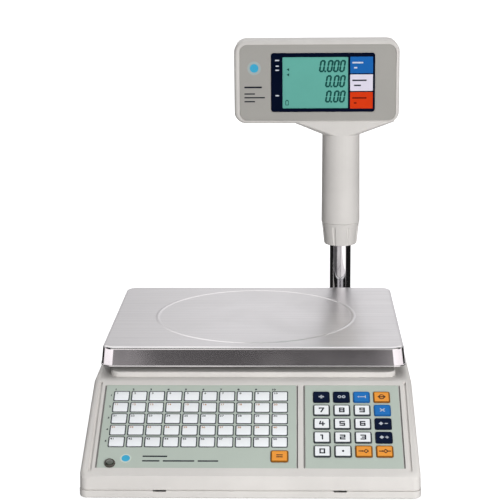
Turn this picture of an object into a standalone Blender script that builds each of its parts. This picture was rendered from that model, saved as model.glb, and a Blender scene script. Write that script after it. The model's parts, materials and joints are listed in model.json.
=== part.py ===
"""Price computing scale with a pole display, as an assembly of its separate pieces.

Metres, +Z up. The front of the scale faces -Y. The origin is at the middle of the
footprint, on the surface that the feet stand on. Heights count from that surface.
"""
import math

import bmesh
import bpy
from mathutils import Matrix, Vector

# Overall layout
OVERALL_DEPTH = 0.491
BASE_DEPTH = 0.437
BASE_HALF_WIDTH = 0.185
BASE_FRONT = -OVERALL_DEPTH / 2
BASE_REAR = BASE_FRONT + BASE_DEPTH
TRAY_Y = BASE_FRONT + 0.285
GAP = 0.0003

# Levels
BASE_BOTTOM = 0.008
PARTING = 0.017
CREASE_LOW = 0.0346
DECK = 0.102
PLATEAU_TOP = 0.1079
SKIRT_BOTTOM = 0.1122
TRAY_TOP = 0.135

# Casing
WALL = 0.0026
FLOOR_TOP = 0.0108
CORNER = 0.009
PANEL_SLOPE = math.radians(28.0)
PANEL_TOP_Y = TRAY_Y - 0.156
PANEL_LOW_Y = PANEL_TOP_Y - (DECK - CREASE_LOW) / math.tan(PANEL_SLOPE)
PANEL_THICK = 0.003
DECK_THICK = 0.0028

# Keypad, in the panel's own plane: x across, s down the slope from the top crease
OVERLAY_S = (0.0100, 0.1338)
PRESET_X = (-0.1675, 0.0515)
NUMERIC_X = (0.0590, 0.1675)
RECESS = 0.0012
SHEET = 0.0006
PRESET_COLUMNS = 10
PRESET_ROWS = 5
PRESET_FIRST = (-0.1573, 0.0195)
PRESET_PITCH = (0.0200, 0.0173)
PRESET_KEY = (0.0184, 0.0156)
EMBOSS = 0.0004
KEY_FIRST = (0.0694, 0.0205)
KEY_PITCH = (0.0227, 0.0203)
KEY_SIZE = (0.0185, 0.0164)
SET_CORNER = (0.0225, 0.1091)
SET_SIZE = (0.0190, 0.0162)
KEY_PROUD = 0.0009
KEY_PLAY = 0.0003
KEY_TRAVEL = 0.0008
VIAL_AT = (-0.1525, 0.1276)
VIAL_RADIUS = 0.0045
BEZEL_RADIUS = 0.0057

# Weighing platform
TRAY_HALF = (0.175, 0.140)
TRAY_CORNER = 0.014
TRAY_FLARE = 0.002
TRAY_SHEET = 0.0012
RING_RADIUS = 0.1215
SPIDER_REACH = (0.140, 0.105)
SPIDER_Z = (0.1125, 0.1262)
RISER_X = 0.046

# Pole and head
POLE_AT = (0.110, TRAY_Y + 0.180)
POLE_RADIUS = 0.0143
POLE_Z = (0.020, 0.295)
COLLAR_Z = (0.1862, 0.2164)
COLLAR_RADII = (0.0219, 0.0250)
COLLAR_FLUTES = 8
SLEEVE_BOTTOM = COLLAR_Z[1] + 0.0005
SLEEVE_RADII = (0.0256, 0.0248)
NECK_TOP = 0.335
FLARE_X = (0.0449, 0.1795)
HEAD_X = (-0.0302, 0.1850)
HEAD_Z = (0.3523, 0.4605)
HEAD_HALF_DEPTH = 0.025
HEAD_CORNER = 0.015
HEAD_WALL = 0.0026
FASCIA_X = (-0.0229, 0.1805)
FASCIA_Z = (0.3564, 0.4552)
FASCIA_CORNER = 0.010
WINDOW_X = (0.0179, 0.1530)
WINDOW_Z = (0.3676, 0.4445)
LCD_X = (0.0325, 0.1189)
LCD_Z = (0.3719, 0.4394)

# Finishes: colour, roughness, metallic
FINISHES = {
    "cover_plastic": ((0.74, 0.71, 0.68), 0.42, 0.0),
    "overlay_film": ((0.55, 0.65, 0.57), 0.45, 0.0),
    "key_white": ((0.82, 0.84, 0.86), 0.35, 0.0),
    "key_navy": ((0.01, 0.02, 0.06), 0.35, 0.0),
    "key_blue": ((0.02, 0.16, 0.45), 0.35, 0.0),
    "key_orange": ((0.75, 0.30, 0.06), 0.35, 0.0),
    "brushed_steel": ((0.62, 0.62, 0.62), 0.28, 1.0),
    "chrome": ((0.80, 0.80, 0.82), 0.08, 1.0),
    "cast_aluminium": ((0.55, 0.56, 0.57), 0.50, 1.0),
    "steel": ((0.45, 0.46, 0.48), 0.35, 1.0),
    "rubber": ((0.03, 0.03, 0.03), 0.80, 0.0),
    "silicone": ((0.55, 0.56, 0.55), 0.70, 0.0),
    "board_green": ((0.02, 0.16, 0.06), 0.50, 0.0),
    "black_plastic": ((0.02, 0.02, 0.02), 0.40, 0.0),
    "battery_grey": ((0.20, 0.21, 0.23), 0.50, 0.0),
    "fascia_grey": ((0.37, 0.36, 0.34), 0.45, 0.0),
    "window_navy": ((0.01, 0.01, 0.05), 0.15, 0.0),
    "lcd_glass": ((0.12, 0.42, 0.36), 0.12, 0.0),
    "vial_glass": ((0.10, 0.14, 0.10), 0.05, 0.0),
}

PANEL = Matrix((
    (1, 0, 0, 0),
    (0, math.cos(PANEL_SLOPE), -math.sin(PANEL_SLOPE), PANEL_TOP_Y),
    (0, math.sin(PANEL_SLOPE), math.cos(PANEL_SLOPE), DECK),
    (0, 0, 0, 1),
))


# Helpers

def finish(name):
    """The Principled material of one finish, made once."""
    if name in bpy.data.materials:
        return bpy.data.materials[name]
    colour, roughness, metallic = FINISHES[name]
    material = bpy.data.materials.new(name)
    material.use_nodes = True
    shader = material.node_tree.nodes["Principled BSDF"]
    shader.inputs["Base Color"].default_value = (*colour, 1.0)
    shader.inputs["Roughness"].default_value = roughness
    shader.inputs["Metallic"].default_value = metallic
    material.diffuse_color = (*colour, 1.0)
    return material


def link(name, bm, finish_name, origin=(0, 0, 0), smooth=False):
    """Turns a bmesh in world coordinates into an object whose origin is at the given point."""
    bmesh.ops.recalc_face_normals(bm, faces=bm.faces)
    bmesh.ops.translate(bm, verts=bm.verts, vec=-Vector(origin))
    mesh = bpy.data.meshes.new(name)
    bm.to_mesh(mesh)
    bm.free()
    if smooth:
        mesh.shade_smooth()
        mesh.set_sharp_from_angle(angle=math.radians(35))
    obj = bpy.data.objects.new(name, mesh)
    obj.location = origin
    if finish_name:
        mesh.materials.append(finish(finish_name))
    bpy.context.scene.collection.objects.link(obj)
    return obj


def helper(name, bm):
    """An unseen object that a Boolean uses."""
    obj = link(name, bm, None)
    obj.hide_render = True
    obj.display_type = "WIRE"
    return obj


def boolean(obj, operation, other):
    """Adds one Boolean modifier."""
    modifier = obj.modifiers.new(operation.lower() + "_" + other.name, "BOOLEAN")
    modifier.operation = operation
    modifier.solver = "EXACT"
    modifier.object = other


def rounded_rect(x, y, radius, steps=5):
    """Points round a rectangle with round corners, from x = (low, high) and y = (low, high)."""
    centres = (
        (x[1] - radius, y[1] - radius, 0),
        (x[0] + radius, y[1] - radius, 90),
        (x[0] + radius, y[0] + radius, 180),
        (x[1] - radius, y[0] + radius, 270),
    )
    points = []
    for cx, cy, start in centres:
        for i in range(steps + 1):
            a = math.radians(start + 90 * i / steps)
            points.append((cx + radius * math.cos(a), cy + radius * math.sin(a)))
    return points


def circle(cx, cy, radius, count):
    """Points round a circle."""
    turn = 2 * math.pi / count
    return [(cx + radius * math.cos(i * turn), cy + radius * math.sin(i * turn)) for i in range(count)]


def level(points, z):
    """Lifts a flat outline to a height."""
    return [Vector((x, y, z)) for x, y in points]


def upright(points, y):
    """Stands an outline up in the XZ plane at a depth."""
    return [Vector((x, y, z)) for x, z in points]


def loft(rings, bm=None):
    """Joins rings of equal count in order and closes the first and the last."""
    bm = bm or bmesh.new()
    rows = [[bm.verts.new(p) for p in ring] for ring in rings]
    count = len(rows[0])
    for low, high in zip(rows, rows[1:]):
        for i in range(count):
            j = (i + 1) % count
            bm.faces.new((low[i], low[j], high[j], high[i]))
    bm.faces.new(reversed(rows[0]))
    bm.faces.new(rows[-1])
    return bm


def turned(profile, at, count=32, bm=None):
    """A closed profile of (radius, height) turned about a vertical line through at = (x, y)."""
    bm = bm or bmesh.new()
    rows = [[bm.verts.new(p) for p in level(circle(*at, r, count), z)] for r, z in profile]
    for low, high in zip(rows, rows[1:] + rows[:1]):
        for i in range(count):
            j = (i + 1) % count
            bm.faces.new((low[i], low[j], high[j], high[i]))
    return bm


def post(profile, at, count=24, bm=None):
    """A solid post from a list of (radius, height), bottom to top."""
    return loft([level(circle(*at, r, count), z) for r, z in profile], bm)


def box(x, y, z, bm=None, frame=None):
    """A box from its low and high values on each axis, in the given frame."""
    bm = bm or bmesh.new()
    made = bmesh.ops.create_cube(bm, size=1.0)["verts"]
    size = Vector((x[1] - x[0], y[1] - y[0], z[1] - z[0]))
    middle = Vector((x[0] + x[1], y[0] + y[1], z[0] + z[1])) / 2
    place = (frame or Matrix()) @ Matrix.Translation(middle) @ Matrix.Diagonal((*size, 1.0))
    bmesh.ops.transform(bm, matrix=place, verts=made)
    return bm


def panel_box(x, s, w, bm=None):
    """A box on the sloped panel: s runs down the slope and w stands off it."""
    return box(x, (-s[1], -s[0]), w, bm, PANEL)


def panel_ring(x, s, w, radius, steps=3):
    """A rounded rectangle on the sloped panel."""
    return [PANEL @ p for p in level(rounded_rect(x, (-s[1], -s[0]), radius, steps), w)]


def panel_disc(at, radius, w, count=20):
    """A circle on the sloped panel."""
    return [PANEL @ p for p in level(circle(at[0], -at[1], radius, count), w)]


def along_y(x, z, y, radius, count=16, bm=None):
    """A rod along Y."""
    return loft([upright(circle(x, z, radius, count), y0) for y0 in y], bm)


def grown(span, by):
    """A span made longer by the same length at both ends."""
    return (span[0] - by, span[1] + by)


def key_span(first, pitch, size, index):
    """The span of one key along one direction."""
    low = first + pitch * index
    return (low, low + size)


# Casing

def base_outline(half_width, front, radius=CORNER, rear=BASE_REAR):
    return rounded_rect((-half_width, half_width), (front, rear), radius)


def foot_places():
    """Where the four feet stand."""
    front, rear = BASE_FRONT + 0.035, BASE_REAR - 0.035
    return {
        "front_left": (-0.150, front),
        "front_right": (0.150, front),
        "rear_left": (-0.150, rear),
        "rear_right": (0.150, rear),
    }


def make_release_slots(name, z):
    """Cutters for the two narrow slots in the front of the joint between the covers."""
    bm = bmesh.new()
    for x in (-0.0975, 0.0975):
        box(grown((x, x), 0.0073), (BASE_FRONT - 0.01, BASE_FRONT + 0.006), z, bm)
    return helper(name, bm)


def make_bottom_cover():
    """The shallow lower shell, with a boss for each foot's stud."""
    full = base_outline(BASE_HALF_WIDTH, BASE_FRONT)
    chamfered = base_outline(BASE_HALF_WIDTH - 0.002, BASE_FRONT + 0.002, rear=BASE_REAR - 0.002)
    inner = base_outline(
        BASE_HALF_WIDTH - WALL, BASE_FRONT + WALL, CORNER - WALL, BASE_REAR - WALL)
    cover = link("bottom_cover", loft([
        level(chamfered, BASE_BOTTOM),
        level(full, BASE_BOTTOM + 0.002),
        level(full, PARTING - GAP),
        level(inner, PARTING - GAP),
        level(inner, FLOOR_TOP),
    ]), "cover_plastic")
    bosses = bmesh.new()
    bores = bmesh.new()
    for at in foot_places().values():
        post([(0.0065, BASE_BOTTOM + 0.001), (0.006, 0.0200)], at, 16, bosses)
        post([(0.0034, 0.0), (0.0034, 0.03)], at, 16, bores)
    boolean(cover, "UNION", helper("foot_bosses", bosses))
    boolean(cover, "DIFFERENCE", helper("foot_bores", bores))
    boolean(cover, "DIFFERENCE", make_release_slots("lower_slots", (PARTING - 0.0022, 0.03)))
    return cover


def top_cover_shell():
    """The upper casing: short front, sloped panel, deck and raised plateau, open below."""
    front = BASE_FRONT + 0.0006
    inner_low_y = PANEL_LOW_Y + WALL
    drop = PANEL_THICK / math.cos(PANEL_SLOPE)
    inner_low_z = CREASE_LOW - drop + WALL * math.tan(PANEL_SLOPE)
    inner_top_z = DECK - DECK_THICK
    inner_top_y = PANEL_TOP_Y - (DECK - drop - inner_top_z) / math.tan(PANEL_SLOPE)
    inner_corner = CORNER - WALL
    inner_rear = BASE_REAR - WALL
    plateau_rear = BASE_REAR - 0.010

    def plateau(inset):
        x = 0.165 - inset
        y = (TRAY_Y - 0.149 + inset, plateau_rear - inset)
        return rounded_rect((-x, x), y, 0.012 - inset)

    low, crease, top = 0.1847, 0.184, 0.182
    return loft([
        level(plateau(0.0008 + WALL), PLATEAU_TOP - DECK_THICK),
        level(plateau(WALL), inner_top_z),
        level(base_outline(top - WALL, inner_top_y, inner_corner, inner_rear), inner_top_z),
        level(base_outline(crease - WALL, inner_low_y, inner_corner, inner_rear), inner_low_z),
        level(base_outline(low - WALL, front + WALL, inner_corner, inner_rear), PARTING),
        level(base_outline(low, front), PARTING),
        level(base_outline(crease, PANEL_LOW_Y), CREASE_LOW),
        level(base_outline(top, PANEL_TOP_Y), DECK),
        level(plateau(0.0), DECK),
        level(plateau(0.0), PLATEAU_TOP - 0.0012),
        level(plateau(0.0012), PLATEAU_TOP),
    ])


def key_places():
    """Every travelling key: its name, finish, and spans across and down the panel."""
    rows = (
        ("plus navy", "change navy", "recall blue", "mode orange"),
        ("7 white", "8 white", "9 white", "clear blue"),
        ("4 white", "5 white", "6 white", "memory_clear navy"),
        ("1 white", "2 white", "3 white", "memory_add navy"),
        ("0 white", "point white", "tare orange", "zero orange"),
    )
    places = []
    for r, row in enumerate(rows):
        for c, words in enumerate(row):
            name, colour = words.split()
            x = key_span(KEY_FIRST[0], KEY_PITCH[0], KEY_SIZE[0], c)
            s = key_span(KEY_FIRST[1], KEY_PITCH[1], KEY_SIZE[1], r)
            places.append(("key_" + name, "key_" + colour, x, s))
    set_x = (SET_CORNER[0], SET_CORNER[0] + SET_SIZE[0])
    set_s = (SET_CORNER[1], SET_CORNER[1] + SET_SIZE[1])
    places.append(("key_set", "key_orange", set_x, set_s))
    return places


def make_key_windows():
    """One cutter with a window for each travelling key."""
    bm = bmesh.new()
    for _, _, x, s in key_places():
        panel_box(grown(x, KEY_PLAY), grown(s, KEY_PLAY), (-0.01, 0.01), bm)
    return helper("key_windows", bm)


def make_vial_bore():
    radius = BEZEL_RADIUS + GAP
    return helper("vial_bore", loft([panel_disc(VIAL_AT, radius, w) for w in (-0.02, 0.01)]))


def rear_openings():
    """Spans (x, z) of the openings in the rear wall."""
    return {
        "inlet": ((-0.1340, -0.1060), (0.0350, 0.0550)),
        "switch": ((-0.0920, -0.0730), (0.0370, 0.0530)),
        "serial": ((-0.0400, -0.0200), (0.0400, 0.0500)),
    }


def make_top_cover(windows, vial_bore):
    cover = link("top_cover", top_cover_shell(), "cover_plastic")
    posts = bmesh.new()
    board_x, board_s = (0.018, 0.163), (0.016, 0.128)
    for x in board_x:
        for s in board_s:
            panel_box(grown((x, x), 0.002), grown((s, s), 0.002), (-0.0073, -0.0015), posts)
    boolean(cover, "UNION", helper("board_posts", posts))
    recesses = bmesh.new()
    for span in (PRESET_X, NUMERIC_X):
        panel_box(grown(span, GAP), grown(OVERLAY_S, GAP), (-RECESS, 0.01), recesses)
    for x in (-0.1735, 0.1735):
        panel_box(grown((x, x), 0.0011), (0.0045, 0.1380), (-0.0010, 0.01), recesses)
    boolean(cover, "DIFFERENCE", helper("panel_recesses", recesses))
    boolean(cover, "DIFFERENCE", windows)
    boolean(cover, "DIFFERENCE", vial_bore)
    boolean(cover, "DIFFERENCE", make_release_slots("upper_slots", (0.0, PARTING + 0.0008)))
    openings = bmesh.new()
    for x, z in rear_openings().values():
        box(x, (BASE_REAR - 0.01, BASE_REAR + 0.01), z, openings)
    box((RISER_X - 0.020, RISER_X + 0.020), (TRAY_Y - 0.022, TRAY_Y + 0.022), (0.09, 0.12), openings)
    along_y(POLE_AT[0], 0.030, (BASE_REAR - 0.01, BASE_REAR + 0.01), 0.005, 16, openings)
    boolean(cover, "DIFFERENCE", helper("cover_openings", openings))
    return cover


# Keypad

def sheet_level():
    """The sheet's lower and upper face, measured off the panel."""
    low = -RECESS + GAP
    return (low, low + SHEET)


def make_preset_overlay(windows, vial_bore):
    """One film with an embossed field for each preset key."""
    low, high = sheet_level()
    sheet = link("preset_overlay", panel_box(PRESET_X, OVERLAY_S, (low, high)), "overlay_film")
    fields = bmesh.new()
    for r in range(PRESET_ROWS):
        s = key_span(PRESET_FIRST[1], PRESET_PITCH[1], PRESET_KEY[1], r)
        for c in range(PRESET_COLUMNS):
            x = key_span(PRESET_FIRST[0], PRESET_PITCH[0], PRESET_KEY[0], c)
            panel_box(x, s, (low + SHEET / 2, high + EMBOSS), fields)
    boolean(sheet, "UNION", helper("preset_fields", fields))
    boolean(sheet, "DIFFERENCE", windows)
    boolean(sheet, "DIFFERENCE", vial_bore)
    return sheet


def make_numeric_overlay(windows):
    """The film round the numeric keys."""
    sheet = link("numeric_overlay", panel_box(NUMERIC_X, OVERLAY_S, sheet_level()), "overlay_film")
    boolean(sheet, "DIFFERENCE", windows)
    return sheet


def make_key(name, finish_name, x, s):
    """A keycap with a retaining flange below the panel. Its origin is at its middle, on the panel."""
    flange_low, flange_high = -PANEL_THICK - 0.0012, -PANEL_THICK - GAP
    flange_x, flange_s = grown(x, 0.0012), grown(s, 0.0011)
    middle = PANEL @ Vector(((x[0] + x[1]) / 2, -(s[0] + s[1]) / 2, 0.0))
    bm = loft([
        panel_ring(flange_x, flange_s, flange_low, 0.002),
        panel_ring(flange_x, flange_s, flange_high, 0.002),
        panel_ring(x, s, flange_high, 0.002),
        panel_ring(x, s, KEY_PROUD - 0.0004, 0.002),
        panel_ring(grown(x, -0.0004), grown(s, -0.0004), KEY_PROUD, 0.0016),
    ])
    return link(name, bm, finish_name, middle)


def make_key_mat():
    """The rubber sheet whose domes the keys rest on, drawn flat at its lowest level."""
    top = -PANEL_THICK - 0.0012 - KEY_TRAVEL - GAP
    bm = panel_box((0.0205, 0.1605), (0.0185, 0.1255), (top - 0.0018, top))
    return link("key_mat", bm, "silicone")


def make_keypad_board():
    bm = panel_box((0.0140, 0.1650), (0.0130, 0.1310), (-0.0092, -0.0076))
    return link("keypad_board", bm, "board_green")


def make_level_vial():
    """A short glass capsule with a domed top."""
    rings = [(1.0, -0.0080), (1.0, -0.0006), (0.92, -0.0002), (0.70, 0.0001), (0.35, 0.0003)]
    bm = loft([panel_disc(VIAL_AT, VIAL_RADIUS * k, w) for k, w in rings])
    return link("level_vial", bm, "vial_glass", smooth=True)


def make_level_bezel():
    bm = loft([panel_disc(VIAL_AT, BEZEL_RADIUS, w) for w in (-0.0080, 0.0004)])
    bezel = link("level_bezel", bm, "black_plastic", smooth=True)
    hole = loft([panel_disc(VIAL_AT, VIAL_RADIUS + GAP, w) for w in (-0.012, 0.004)])
    boolean(bezel, "DIFFERENCE", helper("bezel_bore", hole))
    return bezel


# Weighing platform

def tray_outline(inset):
    x, y = TRAY_HALF[0] - inset, TRAY_HALF[1] - inset
    return rounded_rect((-x, x), (TRAY_Y - y, TRAY_Y + y), TRAY_CORNER - inset, 8)


def make_platter():
    """The steel pan: a flat top with a bent edge and a flared skirt, and a raised bead ring."""
    t = TRAY_SHEET
    outer = [(-TRAY_FLARE, SKIRT_BOTTOM), (0.0, TRAY_TOP - 0.0035), (0.0005, TRAY_TOP - 0.0016),
             (0.0016, TRAY_TOP - 0.0005), (0.0035, TRAY_TOP)]
    inner = [(t - TRAY_FLARE, SKIRT_BOTTOM), (t, TRAY_TOP - 0.0035), (0.0016, TRAY_TOP - 0.0023),
             (0.0023, TRAY_TOP - 0.0016), (0.0035, TRAY_TOP - t)]
    rings = [level(tray_outline(inset), z) for inset, z in reversed(inner)]
    rings += [level(tray_outline(inset), z) for inset, z in outer]
    platter = link("platter", loft(rings), "brushed_steel", smooth=True)
    top = TRAY_TOP
    bead = [(RING_RADIUS - 0.0020, top - 0.0005), (RING_RADIUS + 0.0020, top - 0.0005),
            (RING_RADIUS + 0.0020, top), (RING_RADIUS + 0.0009, top + 0.0008),
            (RING_RADIUS - 0.0009, top + 0.0008), (RING_RADIUS - 0.0020, top)]
    boolean(platter, "UNION", helper("platter_bead", turned(bead, (0.0, TRAY_Y), 72)))
    return platter


def make_platform_spider():
    """The cast cross that carries the pan on four pads."""
    low, high = SPIDER_Z
    reach_x, reach_y = SPIDER_REACH
    angle = math.atan2(reach_y, reach_x)
    length = math.hypot(reach_x, reach_y) + 0.011
    hub = post([(0.036, low), (0.036, high)], (0.0, TRAY_Y), 32)
    spider = link("platform_spider", hub, "cast_aluminium")
    for side in (-1, 1):
        frame = Matrix.Translation((0, TRAY_Y, 0)) @ Matrix.Rotation(side * angle, 4, "Z")
        drop = 0.0004 * (side + 1)
        arm = box((-length, length), (-0.011, 0.011), (low + 0.003 + drop, high), frame=frame)
        boolean(spider, "UNION", helper("spider_arm_%d" % (side + 1), arm))
    seat = box((0.0, RISER_X + 0.018), (TRAY_Y - 0.019, TRAY_Y + 0.019), (low + 0.0002, high - 0.004))
    boolean(spider, "UNION", helper("spider_seat", seat))
    return spider


def make_platter_pads():
    """The four rubber pads between the cross and the pan."""
    low, high = SPIDER_Z[1] + GAP, TRAY_TOP - TRAY_SHEET - GAP
    for ns, sy in (("front", -1), ("rear", 1)):
        for we, sx in (("left", -1), ("right", 1)):
            at = (sx * SPIDER_REACH[0], TRAY_Y + sy * SPIDER_REACH[1])
            bm = post([(0.009, low), (0.009, high - 0.001), (0.008, high)], at, 20)
            link("platter_pad_%s_%s" % (ns, we), bm, "rubber", smooth=True)


def make_load_riser():
    """The block that stands on the free end of the load cell and carries the cross."""
    bm = box((RISER_X - 0.016, RISER_X + 0.016), (TRAY_Y - 0.017, TRAY_Y + 0.017), (0.0825, 0.1124))
    bmesh.ops.bevel(bm, geom=bm.edges, offset=0.001, segments=1, affect="EDGES")
    return link("load_riser", bm, "cast_aluminium")


def make_load_cell():
    """A single-point bending beam, thinned by two bores joined by a slot."""
    y = (TRAY_Y - 0.017, TRAY_Y + 0.017)
    z = (0.058, 0.082)
    middle = sum(z) / 2
    cell = link("load_cell", box((-0.065, 0.065), y, z), "cast_aluminium")
    for i, x in enumerate((-0.015, 0.015)):
        bore = along_y(x, middle, grown(y, 0.005), 0.0095, 20)
        boolean(cell, "DIFFERENCE", helper("cell_bore_%d" % i, bore))
    slot = box((-0.015, 0.015), grown(y, 0.005), grown((middle, middle), 0.002))
    boolean(cell, "DIFFERENCE", helper("cell_slot", slot))
    return cell


def make_load_cell_pedestal():
    """The block that bolts the fixed end of the load cell to the bottom cover."""
    foot = box((-0.072, -0.028), (TRAY_Y - 0.030, TRAY_Y + 0.030), (FLOOR_TOP + GAP, 0.0170))
    pedestal = link("load_cell_pedestal", foot, "cast_aluminium")
    column = box((-0.064, -0.034), (TRAY_Y - 0.017, TRAY_Y + 0.017), (0.0150, 0.0577))
    boolean(pedestal, "UNION", helper("pedestal_column", column))
    return pedestal


# Feet

def make_feet():
    """Levelling feet: a rubber pad on a threaded stud. Each turns about its own axis."""
    profile = [(0.0130, 0.0), (0.0140, 0.0010), (0.0140, 0.0045), (0.0120, 0.0060),
               (0.0031, 0.0060), (0.0031, 0.0180), (0.0024, 0.0188)]
    for place, at in foot_places().items():
        link("foot_" + place, post(profile, at), "rubber", (*at, 0.0), smooth=True)


# Inside the base

def make_main_board():
    """The processor board with its larger parts."""
    low = 0.0180
    board = link(
        "main_board",
        box((-0.010, 0.150), (BASE_FRONT + 0.045, BASE_FRONT + 0.130), (low, low + 0.0016)),
        "board_green")
    parts = bmesh.new()
    top = low + 0.0008
    y = BASE_FRONT
    box((0.030, 0.066), (y + 0.070, y + 0.084), (top, low + 0.0056), parts)
    box((0.090, 0.120), (y + 0.060, y + 0.074), (top, low + 0.0056), parts)
    box((0.000, 0.008), (y + 0.060, y + 0.100), (top, low + 0.0096), parts)
    post([(0.005, top), (0.005, low + 0.0130)], (0.130, y + 0.105), 16, parts)
    post([(0.004, top), (0.004, low + 0.0110)], (0.112, y + 0.108), 16, parts)
    boolean(board, "UNION", helper("board_parts", parts))
    for i, (px, py) in enumerate(((-0.004, 0.051), (0.144, 0.051), (-0.004, 0.124), (0.144, 0.124))):
        standoff = post([(0.003, FLOOR_TOP + GAP), (0.003, top)], (px, y + py), 12)
        boolean(board, "UNION", helper("board_standoff_%d" % i, standoff))
    return board


def make_transformer():
    """A mains transformer: laminated core round a wound bobbin."""
    y = TRAY_Y + 0.085
    z = FLOOR_TOP + GAP
    core = box((-0.160, -0.104), (y - 0.012, y + 0.012), (z, z + 0.046))
    transformer = link("transformer", core, "steel")
    winding = box((-0.148, -0.116), (y - 0.022, y + 0.022), (z + 0.009, z + 0.037))
    boolean(transformer, "UNION", helper("transformer_winding", winding))
    return transformer


def make_battery():
    """A sealed lead battery with two tab terminals."""
    y = TRAY_Y - 0.075
    z = FLOOR_TOP + GAP
    battery = link("battery", box((-0.165, -0.095), (y, y + 0.100), (z, z + 0.047)), "battery_grey")
    tabs = bmesh.new()
    for x in (-0.155, -0.111):
        box((x, x + 0.006), (y + 0.010, y + 0.0108), (z + 0.044, z + 0.053), tabs)
    boolean(battery, "UNION", helper("battery_tabs", tabs))
    return battery


def make_power_inlet():
    """The mains inlet: a flanged socket with three blades."""
    x, z = rear_openings()["inlet"]
    y = BASE_REAR
    inlet = link(
        "power_inlet",
        box(grown(x, -GAP), (y - 0.020, y + 0.001), grown(z, -GAP)), "black_plastic")
    flange = box(grown(x, 0.003), (y + GAP, y + 0.0025), grown(z, 0.003))
    boolean(inlet, "UNION", helper("inlet_flange", flange))
    cavity = box(grown(x, -0.003), (y - 0.016, y + 0.01), grown(z, -0.003))
    boolean(inlet, "DIFFERENCE", helper("inlet_cavity", cavity))
    blades = bmesh.new()
    middle_x, middle_z = sum(x) / 2, sum(z) / 2
    for dx, dz in ((-0.007, -0.002), (0.0, 0.003), (0.007, -0.002)):
        blade_x = grown((middle_x + dx, middle_x + dx), 0.001)
        blade_z = grown((middle_z + dz, middle_z + dz), 0.002)
        box(blade_x, (y - 0.018, y - 0.002), blade_z, blades)
    boolean(inlet, "UNION", helper("inlet_blades", blades))
    return inlet


def switch_axis():
    """The middle of the rocker's pivot line."""
    x, z = rear_openings()["switch"]
    return Vector((sum(x) / 2, BASE_REAR - 0.0010, sum(z) / 2))


def make_switch_housing():
    x, z = rear_openings()["switch"]
    y = BASE_REAR
    body = box(grown(x, -GAP), (y - 0.018, y + 0.001), grown(z, -GAP))
    housing = link("switch_housing", body, "black_plastic")
    flange = box(grown(x, 0.002), (y + GAP, y + 0.0020), grown(z, 0.002))
    boolean(housing, "UNION", helper("switch_flange", flange))
    cavity = box(grown(x, -0.0022), (y - 0.012, y + 0.01), grown(z, -0.0015))
    boolean(housing, "DIFFERENCE", helper("switch_cavity", cavity))
    return housing


def make_switch_rocker():
    """The on-off rocker, resting with its upper half pressed in. It turns about X."""
    x, z = rear_openings()["switch"]
    middle = switch_axis()
    half = (z[1] - z[0]) / 2 - 0.0022
    dish = math.radians(8.0)
    outline = [
        (half, half * math.tan(dish) + 0.0012),
        (0.0, 0.0012),
        (-half, half * math.tan(dish) + 0.0012),
        (-half * 0.9, -0.0040),
        (half * 0.9, -0.0040),
    ]
    tilt = Matrix.Rotation(dish, 3, "X")
    rings = []
    for px in grown(x, -0.0026):
        rings.append([
            Vector((px, 0, 0)) + tilt @ Vector((0, out, up)) + Vector((0, middle.y, middle.z))
            for up, out in outline])
    return link("switch_rocker", loft(rings), "black_plastic", middle)


def make_serial_port():
    """A nine-way data socket."""
    x, z = rear_openings()["serial"]
    y = BASE_REAR
    port = link("serial_port", box(grown(x, -GAP), (y - 0.010, y + 0.001), grown(z, -GAP)), "steel")
    flange = box(grown(x, 0.0055), (y + GAP, y + 0.0012), grown(z, 0.0012))
    boolean(port, "UNION", helper("serial_flange", flange))
    shell = box(grown(x, -0.0015), (y, y + 0.0060), grown(z, -0.0010))
    boolean(port, "UNION", helper("serial_shell", shell))
    cavity = box(grown(x, -0.0025), (y + 0.0015, y + 0.02), grown(z, -0.0020))
    boolean(port, "DIFFERENCE", helper("serial_cavity", cavity))
    return port


# Pole

def make_pole_bracket():
    """The socket behind the base that holds the pole, on a flange bolted to the rear wall."""
    x, y = POLE_AT
    radius = 0.023
    wall = BASE_REAR + GAP
    outline = [(x + radius, wall)]
    for i in range(17):
        a = math.pi * i / 16
        outline.append((x + radius * math.cos(a), y + radius * math.sin(a)))
    outline.append((x - radius, wall))
    bracket = link(
        "pole_bracket",
        loft([level(outline, 0.0120), level(outline, 0.0820)]), "cover_plastic", smooth=True)
    flange = box((x - 0.034, x + 0.034), (wall, wall + 0.004), (0.0200, 0.0940))
    boolean(bracket, "UNION", helper("bracket_flange", flange))
    bore = post([(POLE_RADIUS + GAP, POLE_Z[0] - GAP), (POLE_RADIUS + GAP, 0.12)], POLE_AT, 48)
    boolean(bracket, "DIFFERENCE", helper("bracket_bore", bore))
    screw_way = along_y(x, 0.060, (y + 0.010, y + 0.030), 0.0029, 16)
    boolean(bracket, "DIFFERENCE", helper("bracket_screw_way", screw_way))
    return bracket


def make_pole_screw():
    """The screw that clamps the pole in its socket from behind."""
    x, y = POLE_AT
    tip = y + POLE_RADIUS + GAP
    head = y + 0.0233
    shank = [upright(circle(x, 0.060, 0.0025, 16), d) for d in (tip, head)]
    top = [upright(circle(x, 0.060, r, 16), d) for r, d in ((0.0045, head), (0.0045, 0.2435), (0.003, 0.2450))]
    return link("pole_screw", loft(shank + top), "steel", smooth=True)


def make_pole_tube():
    inner = POLE_RADIUS - 0.0015
    profile = [(POLE_RADIUS, POLE_Z[0]), (POLE_RADIUS, POLE_Z[1]), (inner, POLE_Z[1]), (inner, POLE_Z[0])]
    return link("pole_tube", turned(profile, POLE_AT, 48), "chrome", smooth=True)


def make_pole_bush():
    """The split bush that slides on the pole. The collar closes its thin lower end."""
    bore = POLE_RADIUS + GAP
    low, step, high = COLLAR_Z[0] + 0.0018, COLLAR_Z[1] + 0.0008, COLLAR_Z[1] + 0.0306
    profile = [(bore, low), (0.0172, low), (0.0172, step), (0.0220, step), (0.0220, high), (bore, high)]
    return link("pole_bush", turned(profile, POLE_AT, 48), "black_plastic", (*POLE_AT, low), smooth=True)


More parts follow.
